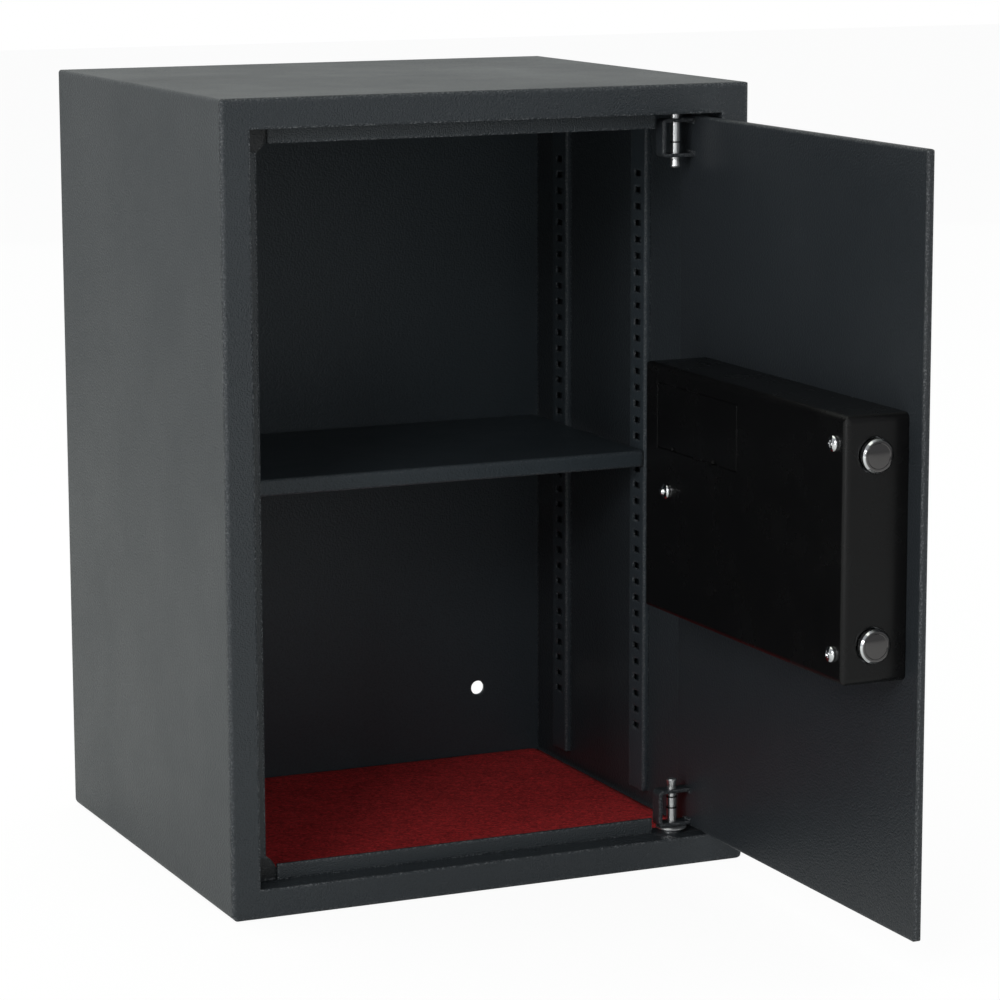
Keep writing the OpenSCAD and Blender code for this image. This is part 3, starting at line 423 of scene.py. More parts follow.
ears = [(22.5, 1), (46.5, -1), (453.5, 1), (477.5, -1)]     # outer face, way to the inner one
bead_in = 2.7                           # just past the 2.2 mm sheet of the ear
ear_lines = [[(144.6, -140.2, z + bead_in * up), (144.6, -131.8, z + bead_in * up)]
             for z, up in ears]
beads = weld("bracket_welds", ear_lines, 11)
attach(beads, "door")

# ---------------------------------------------------------------------------
# Back panel: a flat sheet welded in from behind, with two anchor holes. Its
# coat, like the shelf's, is duller than the outer one and its grain shallower.
# It is the same paint, painted lighter and bluer as painted light for the inside.
# ---------------------------------------------------------------------------
inner_lit_coat = powder_coat("inner_lit_coat", (0.036, 0.047, 0.056), (0.048, 0.063, 0.073), 760,
                         0.0001, (0.36, 0.48))
finish_with(inner_lit_coat, "back_panel")

# ---------------------------------------------------------------------------
# Floor carpet: red needle felt 3 mm thick, cut to size and laid in loose. Its
# face is slightly uneven and covered with short fibres that lie every way.
# ---------------------------------------------------------------------------

# Felted wool: long soft clouds and a tangle of fine strands whose hollows are painted darker, a
# painted shade.
felt_look, given, out = new_group(
    "felt_look", [("Dark", COLOUR, (0, 0, 0, 1)), ("Light", COLOUR, (1, 1, 1, 1))],
    [("Tone", COLOUR, None), ("Height", FLOAT, None)])
cloud = object_noise(felt_look, 45.0, ("Detail", 2.0))
tangle = object_noise(felt_look, 330.0, ("Detail", 4.0), ("Roughness", 0.72), ("Distortion", 1.2))
cloud_and_hollow_shade = add(felt_look, "ShaderNodeMath", [(0, cloud.outputs["Fac"]), (1, 0.14),
                                         (2, tangle.outputs["Fac"])], operation="MULTIPLY_ADD")
share = add(felt_look, "ShaderNodeMapRange", [("Value", cloud_and_hollow_shade.outputs[0]), ("From Min", 0.40),
                                              ("From Max", 0.70)])
tone = mix_colour(felt_look, share.outputs[0], given.outputs["Dark"], given.outputs["Light"])
felt_look.links.new(tone, out.inputs["Tone"])
felt_look.links.new(tangle.outputs["Fac"], out.inputs["Height"])


def felt_material(name, dark, light, depth):
    """Dull wool with a slight pink sheen."""
    mat, tree, shader = new_material(name)
    look = use_group(tree, felt_look, [("Dark", (*dark, 1)), ("Light", (*light, 1))])
    tree.links.new(look.outputs["Tone"], shader.inputs["Base Color"])
    set_relief(tree, shader, look.outputs["Height"], depth)
    for key, value in (("Roughness", 0.95), ("Specular IOR Level", 0.12), ("Sheen Weight", 0.08),
                       ("Sheen Roughness", 0.5), ("Sheen Tint", (1.0, 0.35, 0.35, 1))):
        shader.inputs[key].default_value = value
    return mat


felt_red = felt_material("felt_red", (0.24, 0.010, 0.012), (0.86, 0.040, 0.046), 0.0006)
fibre_red = felt_material("felt_fibre", (0.43, 0.020, 0.025), (0.95, 0.105, 0.10), 0.00005)

low, high = (c * 1000 for c in map(Vector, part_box("floor_carpet")))
across, along, corner_r = 84, 76, 6.0
rim_drop, face_drop = 0.5, 0.28         # below the CAD face, so that the waves stay inside
waves = ((23, 0, 0.18), (7, 9, 0.1))    # length, layer of the noise, height
grid = bmesh.new()
for j in range(along + 1):
    for i in range(across + 1):
        x = low.x + (high.x - low.x) * i / across
        y = low.y + (high.y - low.y) * j / along
        cx = min(max(x, low.x + corner_r), high.x - corner_r)
        cy = min(max(y, low.y + corner_r), high.y - corner_r)
        off = Vector((x - cx, y - cy))
        if off.x and off.y and off.length > corner_r:
            x, y = cx + off.x / off.length * corner_r, cy + off.y / off.length * corner_r
        rim = i in (0, across) or j in (0, along)
        swell = sum(noise.noise(Vector((x, y, layer)) / length) * height
                    for length, layer, height in waves)
        grid.verts.new((x / 1000, y / 1000, (high.z - face_drop + swell - rim_drop * rim) / 1000))
grid.verts.ensure_lookup_table()
for j in range(along):
    for i in range(across):
        a = j * (across + 1) + i
        quad = grid.faces.new([grid.verts[k] for k in (a, a + 1, a + across + 2, a + across + 1)])
        quad.smooth = True
felt_top = bpy.data.meshes.new("felt_top")
grid.to_mesh(felt_top)
rim = [e for e in grid.edges if e.is_boundary]
walls = bmesh.ops.extrude_edge_only(grid, edges=rim)["geom"]
for v in walls:
    if isinstance(v, bmesh.types.BMVert):
        v.co.z = low.z / 1000
bmesh.ops.contextual_create(grid, geom=[e for e in grid.edges if e.is_boundary])
bmesh.ops.recalc_face_normals(grid, faces=grid.faces)
slab = bpy.data.meshes.new("felt_floor")
grid.to_mesh(slab)
grid.free()
felt_floor = new_object("felt_floor", slab, felt_red)
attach(felt_floor, "cabinet")
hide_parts("floor_carpet")

# Fibres scattered over a face, each turned, tilted and sized at random.
fibre_nap, given, out = new_tree("fibre_nap", [
    ("Fibre", "NodeSocketObject", None), ("Fibres per square metre", FLOAT, 1000.0),
    ("Lift", FLOAT, 0.2), ("Shortest", FLOAT, 0.5), ("Seed", "NodeSocketInt", 1),
    ("Material", "NodeSocketMaterial", None)])
spots = add(fibre_nap, "GeometryNodeDistributePointsOnFaces", [
    ("Mesh", given.outputs["Geometry"]), ("Density", given.outputs["Fibres per square metre"]),
    ("Seed", given.outputs["Seed"])])
down = add(fibre_nap, "ShaderNodeMath", [(0, 0.0), (1, given.outputs["Lift"])],
           operation="SUBTRACT")
least = add(fibre_nap, "ShaderNodeCombineXYZ", [(0, down.outputs[0]), (1, down.outputs[0])])
most = add(fibre_nap, "ShaderNodeCombineXYZ", [(0, given.outputs["Lift"]),
                                               (1, given.outputs["Lift"]), (2, math.tau)])
turn = add(fibre_nap, "FunctionNodeRandomValue", [(0, least.outputs[0]), (1, most.outputs[0]),
                                                  ("Seed", given.outputs["Seed"])],
           data_type="FLOAT_VECTOR")
size = add(fibre_nap, "FunctionNodeRandomValue", [(2, given.outputs["Shortest"]), (3, 1.0),
                                                  ("Seed", given.outputs["Seed"])])
strand = add(fibre_nap, "GeometryNodeObjectInfo", [("Object", given.outputs["Fibre"])])
strands = add(fibre_nap, "GeometryNodeInstanceOnPoints", [
    ("Points", spots.outputs["Points"]), ("Instance", strand.outputs["Geometry"]),
    ("Rotation", turn.outputs[0]), ("Scale", size.outputs[1])])
finish_tree(fibre_nap, given, out, strands.outputs[0])

fibre = new_object("one_fibre", smooth_mesh(
    "one_fibre", [(-2.3, -0.4, 0), (-0.8, 0.12, 0.12), (-0.8, -0.06, 0.12), (0.9, 0.22, 0.16),
                  (0.9, 0.04, 0.16), (2.4, -0.5, 0)],
    [(0, 2, 1), (1, 2, 4, 3), (3, 4, 5)]))
fibres = grow("felt_fibres", felt_top, fibre_nap, {
    "Fibre": fibre, "Fibres per square metre": 300000.0, "Seed": 7, "Lift": 0.14,
    "Material": fibre_red})
bpy.data.objects.remove(fibre)
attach(fibres, "cabinet")

# ---------------------------------------------------------------------------
# Shelf strips: four shallow folded channels, two on each side wall, with a
# column of punched slots in each. They are painted like the back panel.
# ---------------------------------------------------------------------------
finish_with(inner_lit_coat, "left_front_strip", "left_rear_strip", "right_front_strip",
            "right_rear_strip")

# ---------------------------------------------------------------------------
# Shelf: one folded sheet with a front lip that is hemmed along its lower edge
# and a shorter lip behind. It is painted like the back panel.
# ---------------------------------------------------------------------------
finish_with(inner_lit_coat, "shelf")

# ---------------------------------------------------------------------------
# Shelf clips: four bent tabs of bright zinc-plated steel under the shelf,
# hooked into the slots of the strips.
# ---------------------------------------------------------------------------

# Fine parallel drawing marks on bright metal.
drawn_lines, given, out = new_group(
    "drawn_lines", [("Stretch", "NodeSocketVector", (60.0, 60.0, 2500.0))],
    [("Lines", FLOAT, None)])
where = add(drawn_lines, "ShaderNodeTexCoord")
long = add(drawn_lines, "ShaderNodeVectorMath", [(0, where.outputs["Object"]),
                                                 (1, given.outputs["Stretch"])],
           operation="MULTIPLY")
line = add(drawn_lines, "ShaderNodeTexNoise", [("Vector", long.outputs[0]), ("Scale", 1.0),
                                               ("Detail", 3.0)])
drawn_lines.links.new(line.outputs["Fac"], out.inputs["Lines"])


def metal_base(name, dark, light, patches):
    """Metal with a slow cloud of tone, and no marks yet."""
    mat, tree, shader = new_material(name)
    shader.inputs["Metallic"].default_value = 1.0
    tone = use_group(tree, slow_tone, [("Dark", (*dark, 1)), ("Light", (*light, 1)),
                                       ("Patches per metre", patches)])
    tree.links.new(tone.outputs["Tone"], shader.inputs["Base Color"])
    return mat, tree, shader


def bright_metal(name, dark, light, gloss, stretch, depth):
    """Bare or plated metal with fine lines and uneven gloss."""
    mat, tree, shader = metal_base(name, dark, light, 180.0)
    lines = use_group(tree, drawn_lines, [("Stretch", stretch)])
    set_gloss(tree, shader, lines.outputs["Lines"], gloss, (0.25, 0.75))
    set_relief(tree, shader, lines.outputs["Lines"], depth)
    return mat


zinc = bright_metal("zinc_plate", (0.50, 0.52, 0.55), (0.66, 0.68, 0.70), (0.24, 0.42),
                    (120, 1800, 120), 0.00001)
finish_with(zinc, "shelf_clips")

# ---------------------------------------------------------------------------
# Door plate and hinge brackets: 4.5 mm plate with eased edges; each bracket
# is a bent U whose two ears are welded to the plate.
# ---------------------------------------------------------------------------
door_coat = powder_coat("door_coat", (0.020, 0.024, 0.028), (0.028, 0.033, 0.038), 760,
                        0.00011, (0.30, 0.40))
finish_with(door_coat, "door_plate", "top_hinge_bracket", "bottom_hinge_bracket")

# ---------------------------------------------------------------------------
# Hinge pins and washer: nickel-plated turned pins, and a dished washer under
# the door that carries its weight.
# ---------------------------------------------------------------------------
nickel = bright_metal("nickel_plate", (0.74, 0.75, 0.76), (0.92, 0.93, 0.93), (0.26, 0.42),
                      (700, 700, 700), 0.000005)
finish_with(nickel, "top_hinge_pin", "bottom_hinge_pin", "hinge_washer")

# ---------------------------------------------------------------------------
# Pin rings: blackened spring rings snapped into the grooves of the pins, where
# they keep these from sliding out of the brackets.
# ---------------------------------------------------------------------------
dark_spring = bright_metal("blackened_spring", (0.03, 0.03, 0.033), (0.06, 0.06, 0.062),
                           (0.30, 0.42), (900, 900, 900), 0.00001)
finish_with(dark_spring, "pin_rings")

# ---------------------------------------------------------------------------
# Lock case and battery cover: satin black mouldings with a faint spark grain.
# The cover clips into the case's face, over the cells.
# ---------------------------------------------------------------------------


def moulding(name, dark, light, gloss, grains, depth):
    """Moulded plastic: spark grain in the bump, uneven satin gloss, softer edges that are painted
    lighter as a highlight.
    """
    mat, tree, shader = new_material(name)
    tone = use_group(tree, slow_tone, [("Dark", (*dark, 1)), ("Light", (*light, 1)),
                                       ("Patches per metre", 30.0)])
    edge_ease_and_glint = use_group(tree, edge_glint, [("Reach", 0.0016), ("Amount", 0.3)])
    # The edges' painted highlight: a lighter copy of the moulding's own colour.
    glint_colour = (*[2.2 * c for c in light], 1)
    glint_painted = mix_colour(tree, edge_ease_and_glint.outputs["Mask"], tone.outputs["Tone"], glint_colour)
    tree.links.new(glint_painted, shader.inputs["Base Color"])
    spark = object_noise(tree, grains, ("Detail", 1.0))
    set_gloss(tree, shader, tone.outputs["Share"], gloss)
    set_relief(tree, shader, spark.outputs["Fac"], depth, ("Normal", edge_ease_and_glint.outputs["Eased"]))
    return mat


case_black = moulding("case_black", (0.0033, 0.0033, 0.0035), (0.0052, 0.0052, 0.0055),
                      (0.22, 0.30), 1500, 0.000006)
case_black.node_tree.nodes["Principled BSDF"].inputs["Specular IOR Level"].default_value = 0.25
finish_with(case_black, "lock_case", "battery_cover")

# ---------------------------------------------------------------------------
# Case and housing screws: chromed pan heads with a cross recess. Three hold
# the lock case; four more go from inside into the keypad housing.
# ---------------------------------------------------------------------------


def turned_mesh(name, outline, sides, axis="X"):
    """A closed round form from (along, radius) pairs in millimetres."""
    points, faces = [], []
    for along, radius in outline:
        for k in range(sides):
            a = math.tau * k / sides
            ring = (along, radius * math.cos(a), radius * math.sin(a))
            points.append(ring if axis == "X" else (ring[1], ring[2], ring[0]))
    for r in range(len(outline) - 1):
        for k in range(sides):
            n = (k + 1) % sides
            faces.append((r * sides + k, r * sides + n, (r + 1) * sides + n, (r + 1) * sides + k))
    faces.append(tuple(range(sides - 1, -1, -1)))
    faces.append(tuple(range((len(outline) - 1) * sides, len(outline) * sides)))
    return smooth_mesh(name, points, faces)


def cross_cut(target, near, far, wide, thick):
    """Cuts a tapered cross from x = near, its mouth, to x = far, its floor."""
    cutter = bmesh.new()
    for half_y, half_z in ((wide, thick), (thick, wide)):
        ends = [(near, 1.0), (far, 0.62)]               # place, share of the full width
        ring = [[cutter.verts.new((x / 1000, sy * half_y * k / 1000, sz * half_z * k / 1000))
                 for sy, sz in ((-1, -1), (1, -1), (1, 1), (-1, 1))] for x, k in ends]
        cutter.faces.new(ring[0])
        cutter.faces.new(ring[1])
        for k in range(4):
            n = (k + 1) % 4
            cutter.faces.new((ring[0][k], ring[0][n], ring[1][n], ring[1][k]))
    bmesh.ops.recalc_face_normals(cutter, faces=cutter.faces)
    tool = bpy.data.meshes.new("cross_tool")
    cutter.to_mesh(tool)
    cutter.free()
    tool = new_object("cross_tool", tool)
    cut = target.modifiers.new("recess", "BOOLEAN")
    cut.operation, cut.object, cut.solver, cut.use_self = "DIFFERENCE", tool, "EXACT", True
    recessed = plain_mesh(target)
    target.modifiers.clear()
    target.data = recessed
    bpy.data.objects.remove(tool)


# Screws on points: a turned head on each, and a shank as long as the point's reach says.
screw_row, given, out = new_tree("screw_row", [
    ("Head", "NodeSocketObject", None), ("Shank", "NodeSocketObject", None),
    ("Seed", "NodeSocketInt", 1), ("Material", "NodeSocketMaterial", None)])
spin = add(screw_row, "FunctionNodeRandomValue", [(0, (0, 0, 0)), (1, (math.pi / 2, 0, 0)),
                                                  ("Seed", given.outputs["Seed"])],
           data_type="FLOAT_VECTOR")
head = add(screw_row, "GeometryNodeObjectInfo", [("Object", given.outputs["Head"])])
heads = add(screw_row, "GeometryNodeInstanceOnPoints", [
    ("Points", given.outputs["Geometry"]), ("Instance", head.outputs["Geometry"]),
    ("Rotation", spin.outputs[0])])
reach = add(screw_row, "GeometryNodeInputNamedAttribute", [("Name", "reach")],
            data_type="FLOAT")
deep = add(screw_row, "ShaderNodeCombineXYZ", [(0, reach.outputs[0]), (1, 1.0), (2, 1.0)])
shank = add(screw_row, "GeometryNodeObjectInfo", [("Object", given.outputs["Shank"])])
shanks = add(screw_row, "GeometryNodeInstanceOnPoints", [
    ("Points", given.outputs["Geometry"]), ("Instance", shank.outputs["Geometry"]),
    ("Scale", deep.outputs[0])])
both = add(screw_row, "GeometryNodeJoinGeometry")
screw_row.links.new(heads.outputs[0], both.inputs[0])
screw_row.links.new(shanks.outputs[0], both.inputs[0])
finish_tree(screw_row, given, out, both.outputs[0])

chrome_dark, chrome_light = (0.78, 0.79, 0.81), (0.90, 0.91, 0.92)
chrome = bright_metal("chrome_plate", chrome_dark, chrome_light, (0.06, 0.16),
                      (400, 400, 400), 0.000003)
head_h, head_r, shank_r = 2.8, 4.75, 2.0
dome = [(-head_h + 1.9 * (1 - math.cos(a)), 0.02 + (head_r - 0.02) * math.sin(a))
        for a in (math.pi / 2 * k / 9 for k in range(10))]
pan_head = new_object("pan_head", turned_mesh(
    "pan_head", dome + [(-0.35, head_r), (-0.12, 4.68), (0, 4.5), (0.3, shank_r - 0.1)], 40))
cross_cut(pan_head, -3.4, -0.9, 2.35, 0.52)
screw_shank = new_object("screw_shank", turned_mesh(
    "screw_shank", [(-0.3, shank_r - 0.1), (0, shank_r), (0.93, shank_r), (1, 1.5)], 24))


def screws(name, replaced, spots, seed):
    """A row of screws on the door from (x, y, z, reach) in millimetres."""
    mesh = bpy.data.meshes.new(name)
    mesh.from_pydata([[c / 1000 for c in spot[:3]] for spot in spots], [], [])
    mesh.attributes.new("reach", "FLOAT", "POINT").data.foreach_set(
        "value", [spot[3] for spot in spots])
    row = grow(name, mesh, screw_row, {"Head": pan_head, "Shank": screw_shank, "Seed": seed,
                                       "Material": chrome})
    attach(row, "door")
    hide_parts(replaced)


screws("lock_case_screws", "case_screws",
       [(104, -185, 251, 14), (104, -394.5, 312, 8.4), (104, -394.5, 190, 8.4)], 4)
screws("keypad_screws", "housing_screws",
       [(145, y, z, 12) for y in (-353.5, -201.5) for z in (214, 288)], 8)
bpy.data.objects.remove(pan_head)
bpy.data.objects.remove(screw_shank)

# ---------------------------------------------------------------------------
# Locking bolts: turned and chromed, drawn back into the case. Their slightly
# domed ends are faced on the lathe. Inside a bright rim they are painted dark,
# a painted reflection of the dark surroundings that the chrome mirrors.
# ---------------------------------------------------------------------------


def off_axis(tree, centre, across):
    """How far a spot lies from the axis through centre; across is 0 along the axis."""
    where = add(tree, "ShaderNodeTexCoord")
    off = add(tree, "ShaderNodeVectorMath", [(0, where.outputs["Object"]), (1, centre)],
              operation="SUBTRACT")
    flat = add(tree, "ShaderNodeVectorMath", [(0, off.outputs[0]), (1, across)],
               operation="MULTIPLY")
    return add(tree, "ShaderNodeVectorMath", [(0, flat.outputs[0])],
               operation="LENGTH").outputs["Value"]


# Turning marks: fine rings of uneven depth round an axis through a centre.
turned_rings, given, out = new_group(
    "turned_rings", [("Centre", "NodeSocketVector", (0, 0, 0)),
                     ("Across", "NodeSocketVector", (0, 1, 1)), ("Rings per metre", FLOAT, 2500.0)],
    [("Rings", FLOAT, None)])
far = off_axis(turned_rings, given.outputs["Centre"], given.outputs["Across"])
ring = add(turned_rings, "ShaderNodeTexNoise", [
    ("W", far), ("Scale", given.outputs["Rings per metre"]), ("Detail", 2.0)],
    noise_dimensions="1D")
turned_rings.links.new(ring.outputs["Fac"], out.inputs["Rings"])


def turned_metal(name, dark, light, gloss, centre, across, depth):
    """Metal faced on a lathe: rings in the bump and in the gloss."""
    mat, tree, shader = metal_base(name, dark, light, 120.0)
    rings = use_group(tree, turned_rings, [("Centre", centre), ("Across", across)])
    set_gloss(tree, shader, rings.outputs["Rings"], gloss)
    set_relief(tree, shader, rings.outputs["Rings"], depth)
    return mat


bolt_x, face_r, rim_width, dome_r = 0.1229, 0.0092, 0.0006, 0.035
for node, height in (("upper_bolt", 0.306), ("lower_bolt", 0.196)):
    axis, across = (bolt_x, 0, height), (1, 0, 1)
    skin = turned_metal(node + "_chrome", chrome_dark, chrome_light, (0.06, 0.15), axis, across,
                        0.000004)
    tree = skin.node_tree
    shader = tree.nodes["Principled BSDF"]
    plated, turned = (shader.inputs[key].links[0].from_socket for key in ("Base Color", "Normal"))
    far = off_axis(tree, axis, across)
    inner = add(tree, "ShaderNodeMapRange", [("Value", far), ("From Min", face_r),
                                             ("From Max", face_r - rim_width)])
    # Painted reflection: the face inside the bright rim is painted dark, for the dark surroundings
    # the chrome mirrors.
    dark_reflection = mix_colour(tree, inner.outputs[0], plated, (0.12, 0.115, 0.115, 1))
    tree.links.new(dark_reflection, shader.inputs["Base Color"])
    square = add(tree, "ShaderNodeMath", [(0, far), (1, far)], operation="MULTIPLY")
    fall = add(tree, "ShaderNodeMath", [(0, square.outputs[0]), (1, -0.5 / dome_r)],
               operation="MULTIPLY")
    set_relief(tree, shader, fall.outputs[0], 1.0, ("Normal", turned))
    finish_with(skin, node)

# ---------------------------------------------------------------------------
# Bolt works: zinc-plated channel, carriage, rivets, posts, nut and crank. The
# crank's pin drives the slotted carriage, which carries both bolts.
# ---------------------------------------------------------------------------
finish_with(zinc, "case_post", "bolt_channel", "guide_post", "bolt_carriage", "bolt_rivets",
            "knob_shaft", "emergency_nut")

# ---------------------------------------------------------------------------
# Battery tray, contacts and cells: a black tray, sprung nickel tabs, and four
# dry cells in plain two-tone jackets with bare steel ends.
# ---------------------------------------------------------------------------
finish_with(case_black, "battery_tray")
finish_with(nickel, "battery_contacts")

first_cell, cell_step = 0.2749, 0.05035         # along the door, on Y
jacket_bands = ((0.0, (0.60, 0.58, 0.54, 1)), (0.035, (0.035, 0.037, 0.042, 1)),
                (0.66, (0.42, 0.21, 0.06, 1)), (0.955, (0.60, 0.58, 0.54, 1)))
cell_jacket, tree, shader = new_material("cell_jacket")
where = add(tree, "ShaderNodeTexCoord")
place = add(tree, "ShaderNodeSeparateXYZ", [(0, where.outputs["Object"])])
from_end = add(tree, "ShaderNodeMath", [(0, place.outputs["Y"]), (1, first_cell)],
               operation="ADD")
cells = add(tree, "ShaderNodeMath", [(0, from_end.outputs[0]), (1, cell_step)],
            operation="DIVIDE")
share = add(tree, "ShaderNodeMath", [(0, cells.outputs[0])], operation="FRACT")
bands = add(tree, "ShaderNodeValToRGB", [(0, share.outputs[0])])
bands.color_ramp.interpolation = "CONSTANT"
for spot, colour in jacket_bands:
    stop = bands.color_ramp.elements.new(spot) if spot else bands.color_ramp.elements[0]
    stop.color = colour
bands.color_ramp.elements.remove(bands.color_ramp.elements[-1])
haze = use_group(tree, slow_tone, [("Dark", (0.86, 0.86, 0.86, 1)), ("Patches per metre", 90.0)])
soft = mix_colour(tree, 1.0, bands.outputs[0], haze.outputs["Tone"], blend_type="MULTIPLY")
tree.links.new(soft, shader.inputs["Base Color"])
set_gloss(tree, shader, haze.outputs["Share"], (0.22, 0.36), (0, 1))
shader.inputs["Metallic"].default_value = 0.7
finish_with(cell_jacket, "batteries")

# ---------------------------------------------------------------------------
# Solenoid: a bent steel yoke with a wound coil, and the plunger that blocks
# the carriage until the code is right.
# ---------------------------------------------------------------------------
finish_with(zinc, "solenoid")
finish_with(chrome, "solenoid_plunger")

# Copies of one piece on points, each turned at random by up to Turn.
piece_row, given, out = new_tree("piece_row", [
    ("Piece", "NodeSocketObject", None), ("Turn", "NodeSocketVector", (0.0, 0.0, 0.0)),
    ("Seed", "NodeSocketInt", 1), ("Material", "NodeSocketMaterial", None)])
turn = add(piece_row, "FunctionNodeRandomValue", [(0, (0, 0, 0)), (1, given.outputs["Turn"]),
                                                  ("Seed", given.outputs["Seed"])],
           data_type="FLOAT_VECTOR")
piece = add(piece_row, "GeometryNodeObjectInfo", [("Object", given.outputs["Piece"])])
pieces = add(piece_row, "GeometryNodeInstanceOnPoints", [
    ("Points", given.outputs["Geometry"]), ("Instance", piece.outputs["Geometry"]),
    ("Rotation", turn.outputs[0])])
finish_tree(piece_row, given, out, pieces.outputs[0])


def piece_along(name, mesh, spots, material, turn=(0, 0, 0), seed=1):
    """Copies of a mesh at spots in millimetres, riding on the door."""
    one = new_object("one_of_" + name, mesh)
    row = grow(name, lines_mesh(name, [[spot] for spot in spots]), piece_row, {
        "Piece": one, "Turn": turn, "Seed": seed, "Material": material})
    bpy.data.objects.remove(one)
    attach(row, "door")


copper = bright_metal("enamelled_copper", (0.45, 0.15, 0.06), (0.62, 0.24, 0.10), (0.22, 0.34),
                      (900, 900, 900), 0.000004)
wire_r, coil_r, wire_step, wire_turns = 0.33, 8.0, 0.68, 36
turn_of_wire = turned_mesh("turn_of_wire", [
    (wire_r * math.sin(a), coil_r + wire_r * math.cos(a))
    for a in (math.tau * k / 8 - math.pi / 2 for k in range(8))] + [(-wire_r, coil_r)], 40, "Z")
piece_along("coil_winding", turn_of_wire,
            [(122.9, -314.5, 265.2 + wire_step * k) for k in range(wire_turns)],
            copper, (0, 0, 3.1), 2)

# ---------------------------------------------------------------------------
# Control board and keypad board: green laminate with faint tracks under the
# solder mask; the chip stands on a row of bright bent legs at each side.
# ---------------------------------------------------------------------------
board_green, tree, shader = new_material("board_green")
where = add(tree, "ShaderNodeTexCoord")
flat = add(tree, "ShaderNodeMapping", [(0, where.outputs["Object"]),
                                       ("Rotation", (0, math.pi / 2, 0))])
tracks = add(tree, "ShaderNodeTexBrick", [
    ("Vector", flat.outputs[0]), ("Color1", (0.008, 0.06, 0.022, 1)),
    ("Color2", (0.010, 0.07, 0.026, 1)), ("Mortar", (0.03, 0.17, 0.06, 1)), ("Scale", 120.0),
    ("Mortar Size", 0.05), ("Brick Width", 1.3), ("Row Height", 0.35)])
haze = use_group(tree, slow_tone, [("Dark", (0.8, 0.8, 0.8, 1)), ("Patches per metre", 60.0)])
soft = mix_colour(tree, 1.0, tracks.outputs[0], haze.outputs["Tone"], blend_type="MULTIPLY")
tree.links.new(soft, shader.inputs["Base Color"])
set_gloss(tree, shader, haze.outputs["Share"], (0.22, 0.38), (0, 1))
set_relief(tree, shader, tracks.outputs["Fac"], 0.00003)
finish_with(board_green, "control_board", "keypad_board")

chip_y, chip_half, leg_step, leg_w, leg_top = -242.5, 7.0, 1.6, 0.6, 2.0
leg_profile = [(0, 0), (0.8, 0), (0.8, 1.3), (1.5, 1.5), (1.5, 1.2), (1.1, 1.1), (1.1, -0.3),
               (0, -0.3)]               # (away from the chip, down to the board)
for side, side_name in ((-1, "left"), (1, "right")):
    outline = [(down - leg_top, side * away, z) for z in (-leg_w / 2, leg_w / 2)
               for away, down in leg_profile]
    count = len(leg_profile)
    walls = [(k, (k + 1) % count, (k + 1) % count + count, k + count) for k in range(count)]
    caps = [tuple(range(count - 1, -1, -1)), tuple(range(count, 2 * count))]
    leg = smooth_mesh("chip_leg", outline, walls + caps)
    for face in leg.polygons:
        face.use_smooth = False
    shaped = bmesh.new()
    shaped.from_mesh(leg)
    bmesh.ops.recalc_face_normals(shaped, faces=shaped.faces)
    shaped.to_mesh(leg)
    shaped.free()
    piece_along("chip_legs_" + side_name, leg,
                [(137.4, chip_y + side * chip_half, 197.4 + leg_step * k) for k in range(8)],
                nickel)

# ---------------------------------------------------------------------------
# Keypad housing: moulded in dark grey with a fine satin grain; three small
# lamps show through it.
# ---------------------------------------------------------------------------
pad_black = moulding("pad_black", (0.012, 0.0125, 0.013), (0.018, 0.019, 0.02), (0.40, 0.50),
                     1800, 0.00004)
finish_with(pad_black, "keypad_housing")
lens_green = moulding("lens_green", (0.02, 0.20, 0.05), (0.03, 0.30, 0.08), (0.12, 0.2), 300,
                      0.00001)
finish_with(lens_green, "status_lenses")

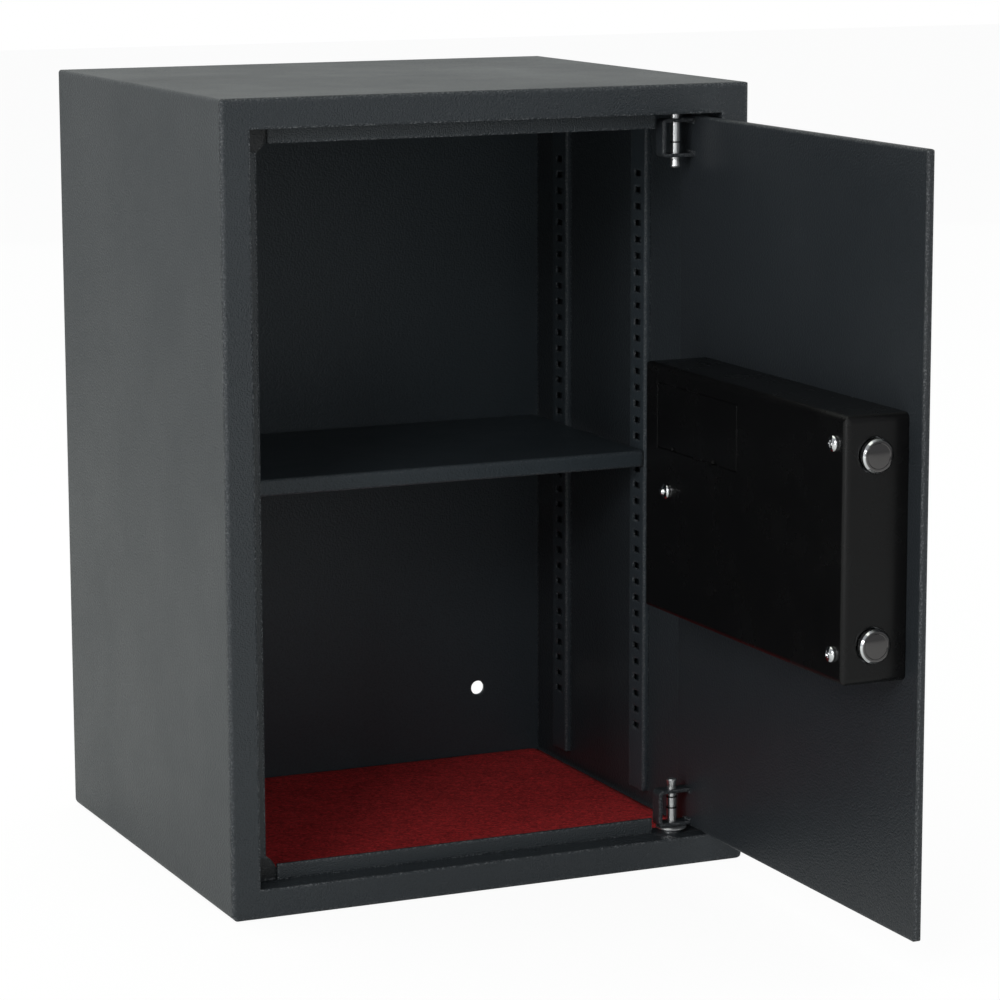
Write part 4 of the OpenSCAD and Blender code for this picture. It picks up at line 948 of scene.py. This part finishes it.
# ---------------------------------------------------------------------------
# Keys: twelve satin grey caps with dished tops, printed with plain numerals
# and two signs.
# ---------------------------------------------------------------------------
key_grey = moulding("key_grey", (0.33, 0.34, 0.35), (0.42, 0.43, 0.44), (0.34, 0.42), 2400,
                    0.00002)
print_black = moulding("print_black", (0.012, 0.012, 0.013), (0.02, 0.02, 0.021), (0.40, 0.5),
                       2400, 0.00001)
SIGNS = {"clear": "*", "enter": "#"}
numeral_h, print_depth = 0.0066, 0.00008
dish_r, print_sink, dish_rise = 0.00325, 0.5, 0.15      # sink and rise in millimetres
for label in ("1", "2", "3", "4", "5", "6", "7", "8", "9", "clear", "0", "enter"):
    node = "key_" + label
    finish_with(key_grey, node)
    low, high = map(Vector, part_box(node))
    words = bpy.data.curves.new("numeral_" + label, "FONT")
    words.body = SIGNS.get(label, label)
    words.align_x, words.align_y = "CENTER", "CENTER"
    words.size, words.extrude, words.resolution_u = numeral_h, print_depth, 3
    words = new_object("numeral_" + label, words)
    print_mesh = plain_mesh(words)
    bpy.data.objects.remove(words)
    spans = [[f(v.co[k] for v in print_mesh.vertices) for f in (min, max)] for k in (0, 1)]
    middle = Vector((*[sum(span) / 2 for span in spans], 0))
    for v in print_mesh.vertices:
        flat = v.co - middle
        dish = print_sink - dish_rise * min(1, math.hypot(flat.x, flat.y) / dish_r)
        v.co = Vector((high.x - dish / 1000 + flat.z, (low.y + high.y) / 2 + flat.x,
                       (low.z + high.z) / 2 + flat.y))
    numeral = new_object("numeral_" + label, print_mesh, print_black)
    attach(numeral, node)

# ---------------------------------------------------------------------------
# Turning knob: fluted, with a satin turned face and a pointer groove. Its
# axis runs along X with the door open.
# ---------------------------------------------------------------------------
satin = turned_metal("satin_knob", (0.52, 0.53, 0.55), (0.62, 0.63, 0.65), (0.24, 0.38),
                     (0, -0.2275, 0.251), (0, 1, 1), 0.00001)
finish_with(satin, "turn_knob")

# ---------------------------------------------------------------------------
# Emergency lock: a chromed barrel and keyed plug under a snap-on plastic cap,
# beside the knob.
# ---------------------------------------------------------------------------
barrel_face = turned_metal("lock_barrel", (0.66, 0.67, 0.69), (0.78, 0.79, 0.80), (0.12, 0.24),
                           (0, -0.2735, 0.251), (0, 1, 1), 0.000006)
finish_with(barrel_face, "emergency_barrel", "emergency_plug")
finish_with(pad_black, "emergency_cap")

# ---------------------------------------------------------------------------
# Sizes: the box of the finished model, leaving out the backdrop.
# ---------------------------------------------------------------------------
low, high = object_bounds()
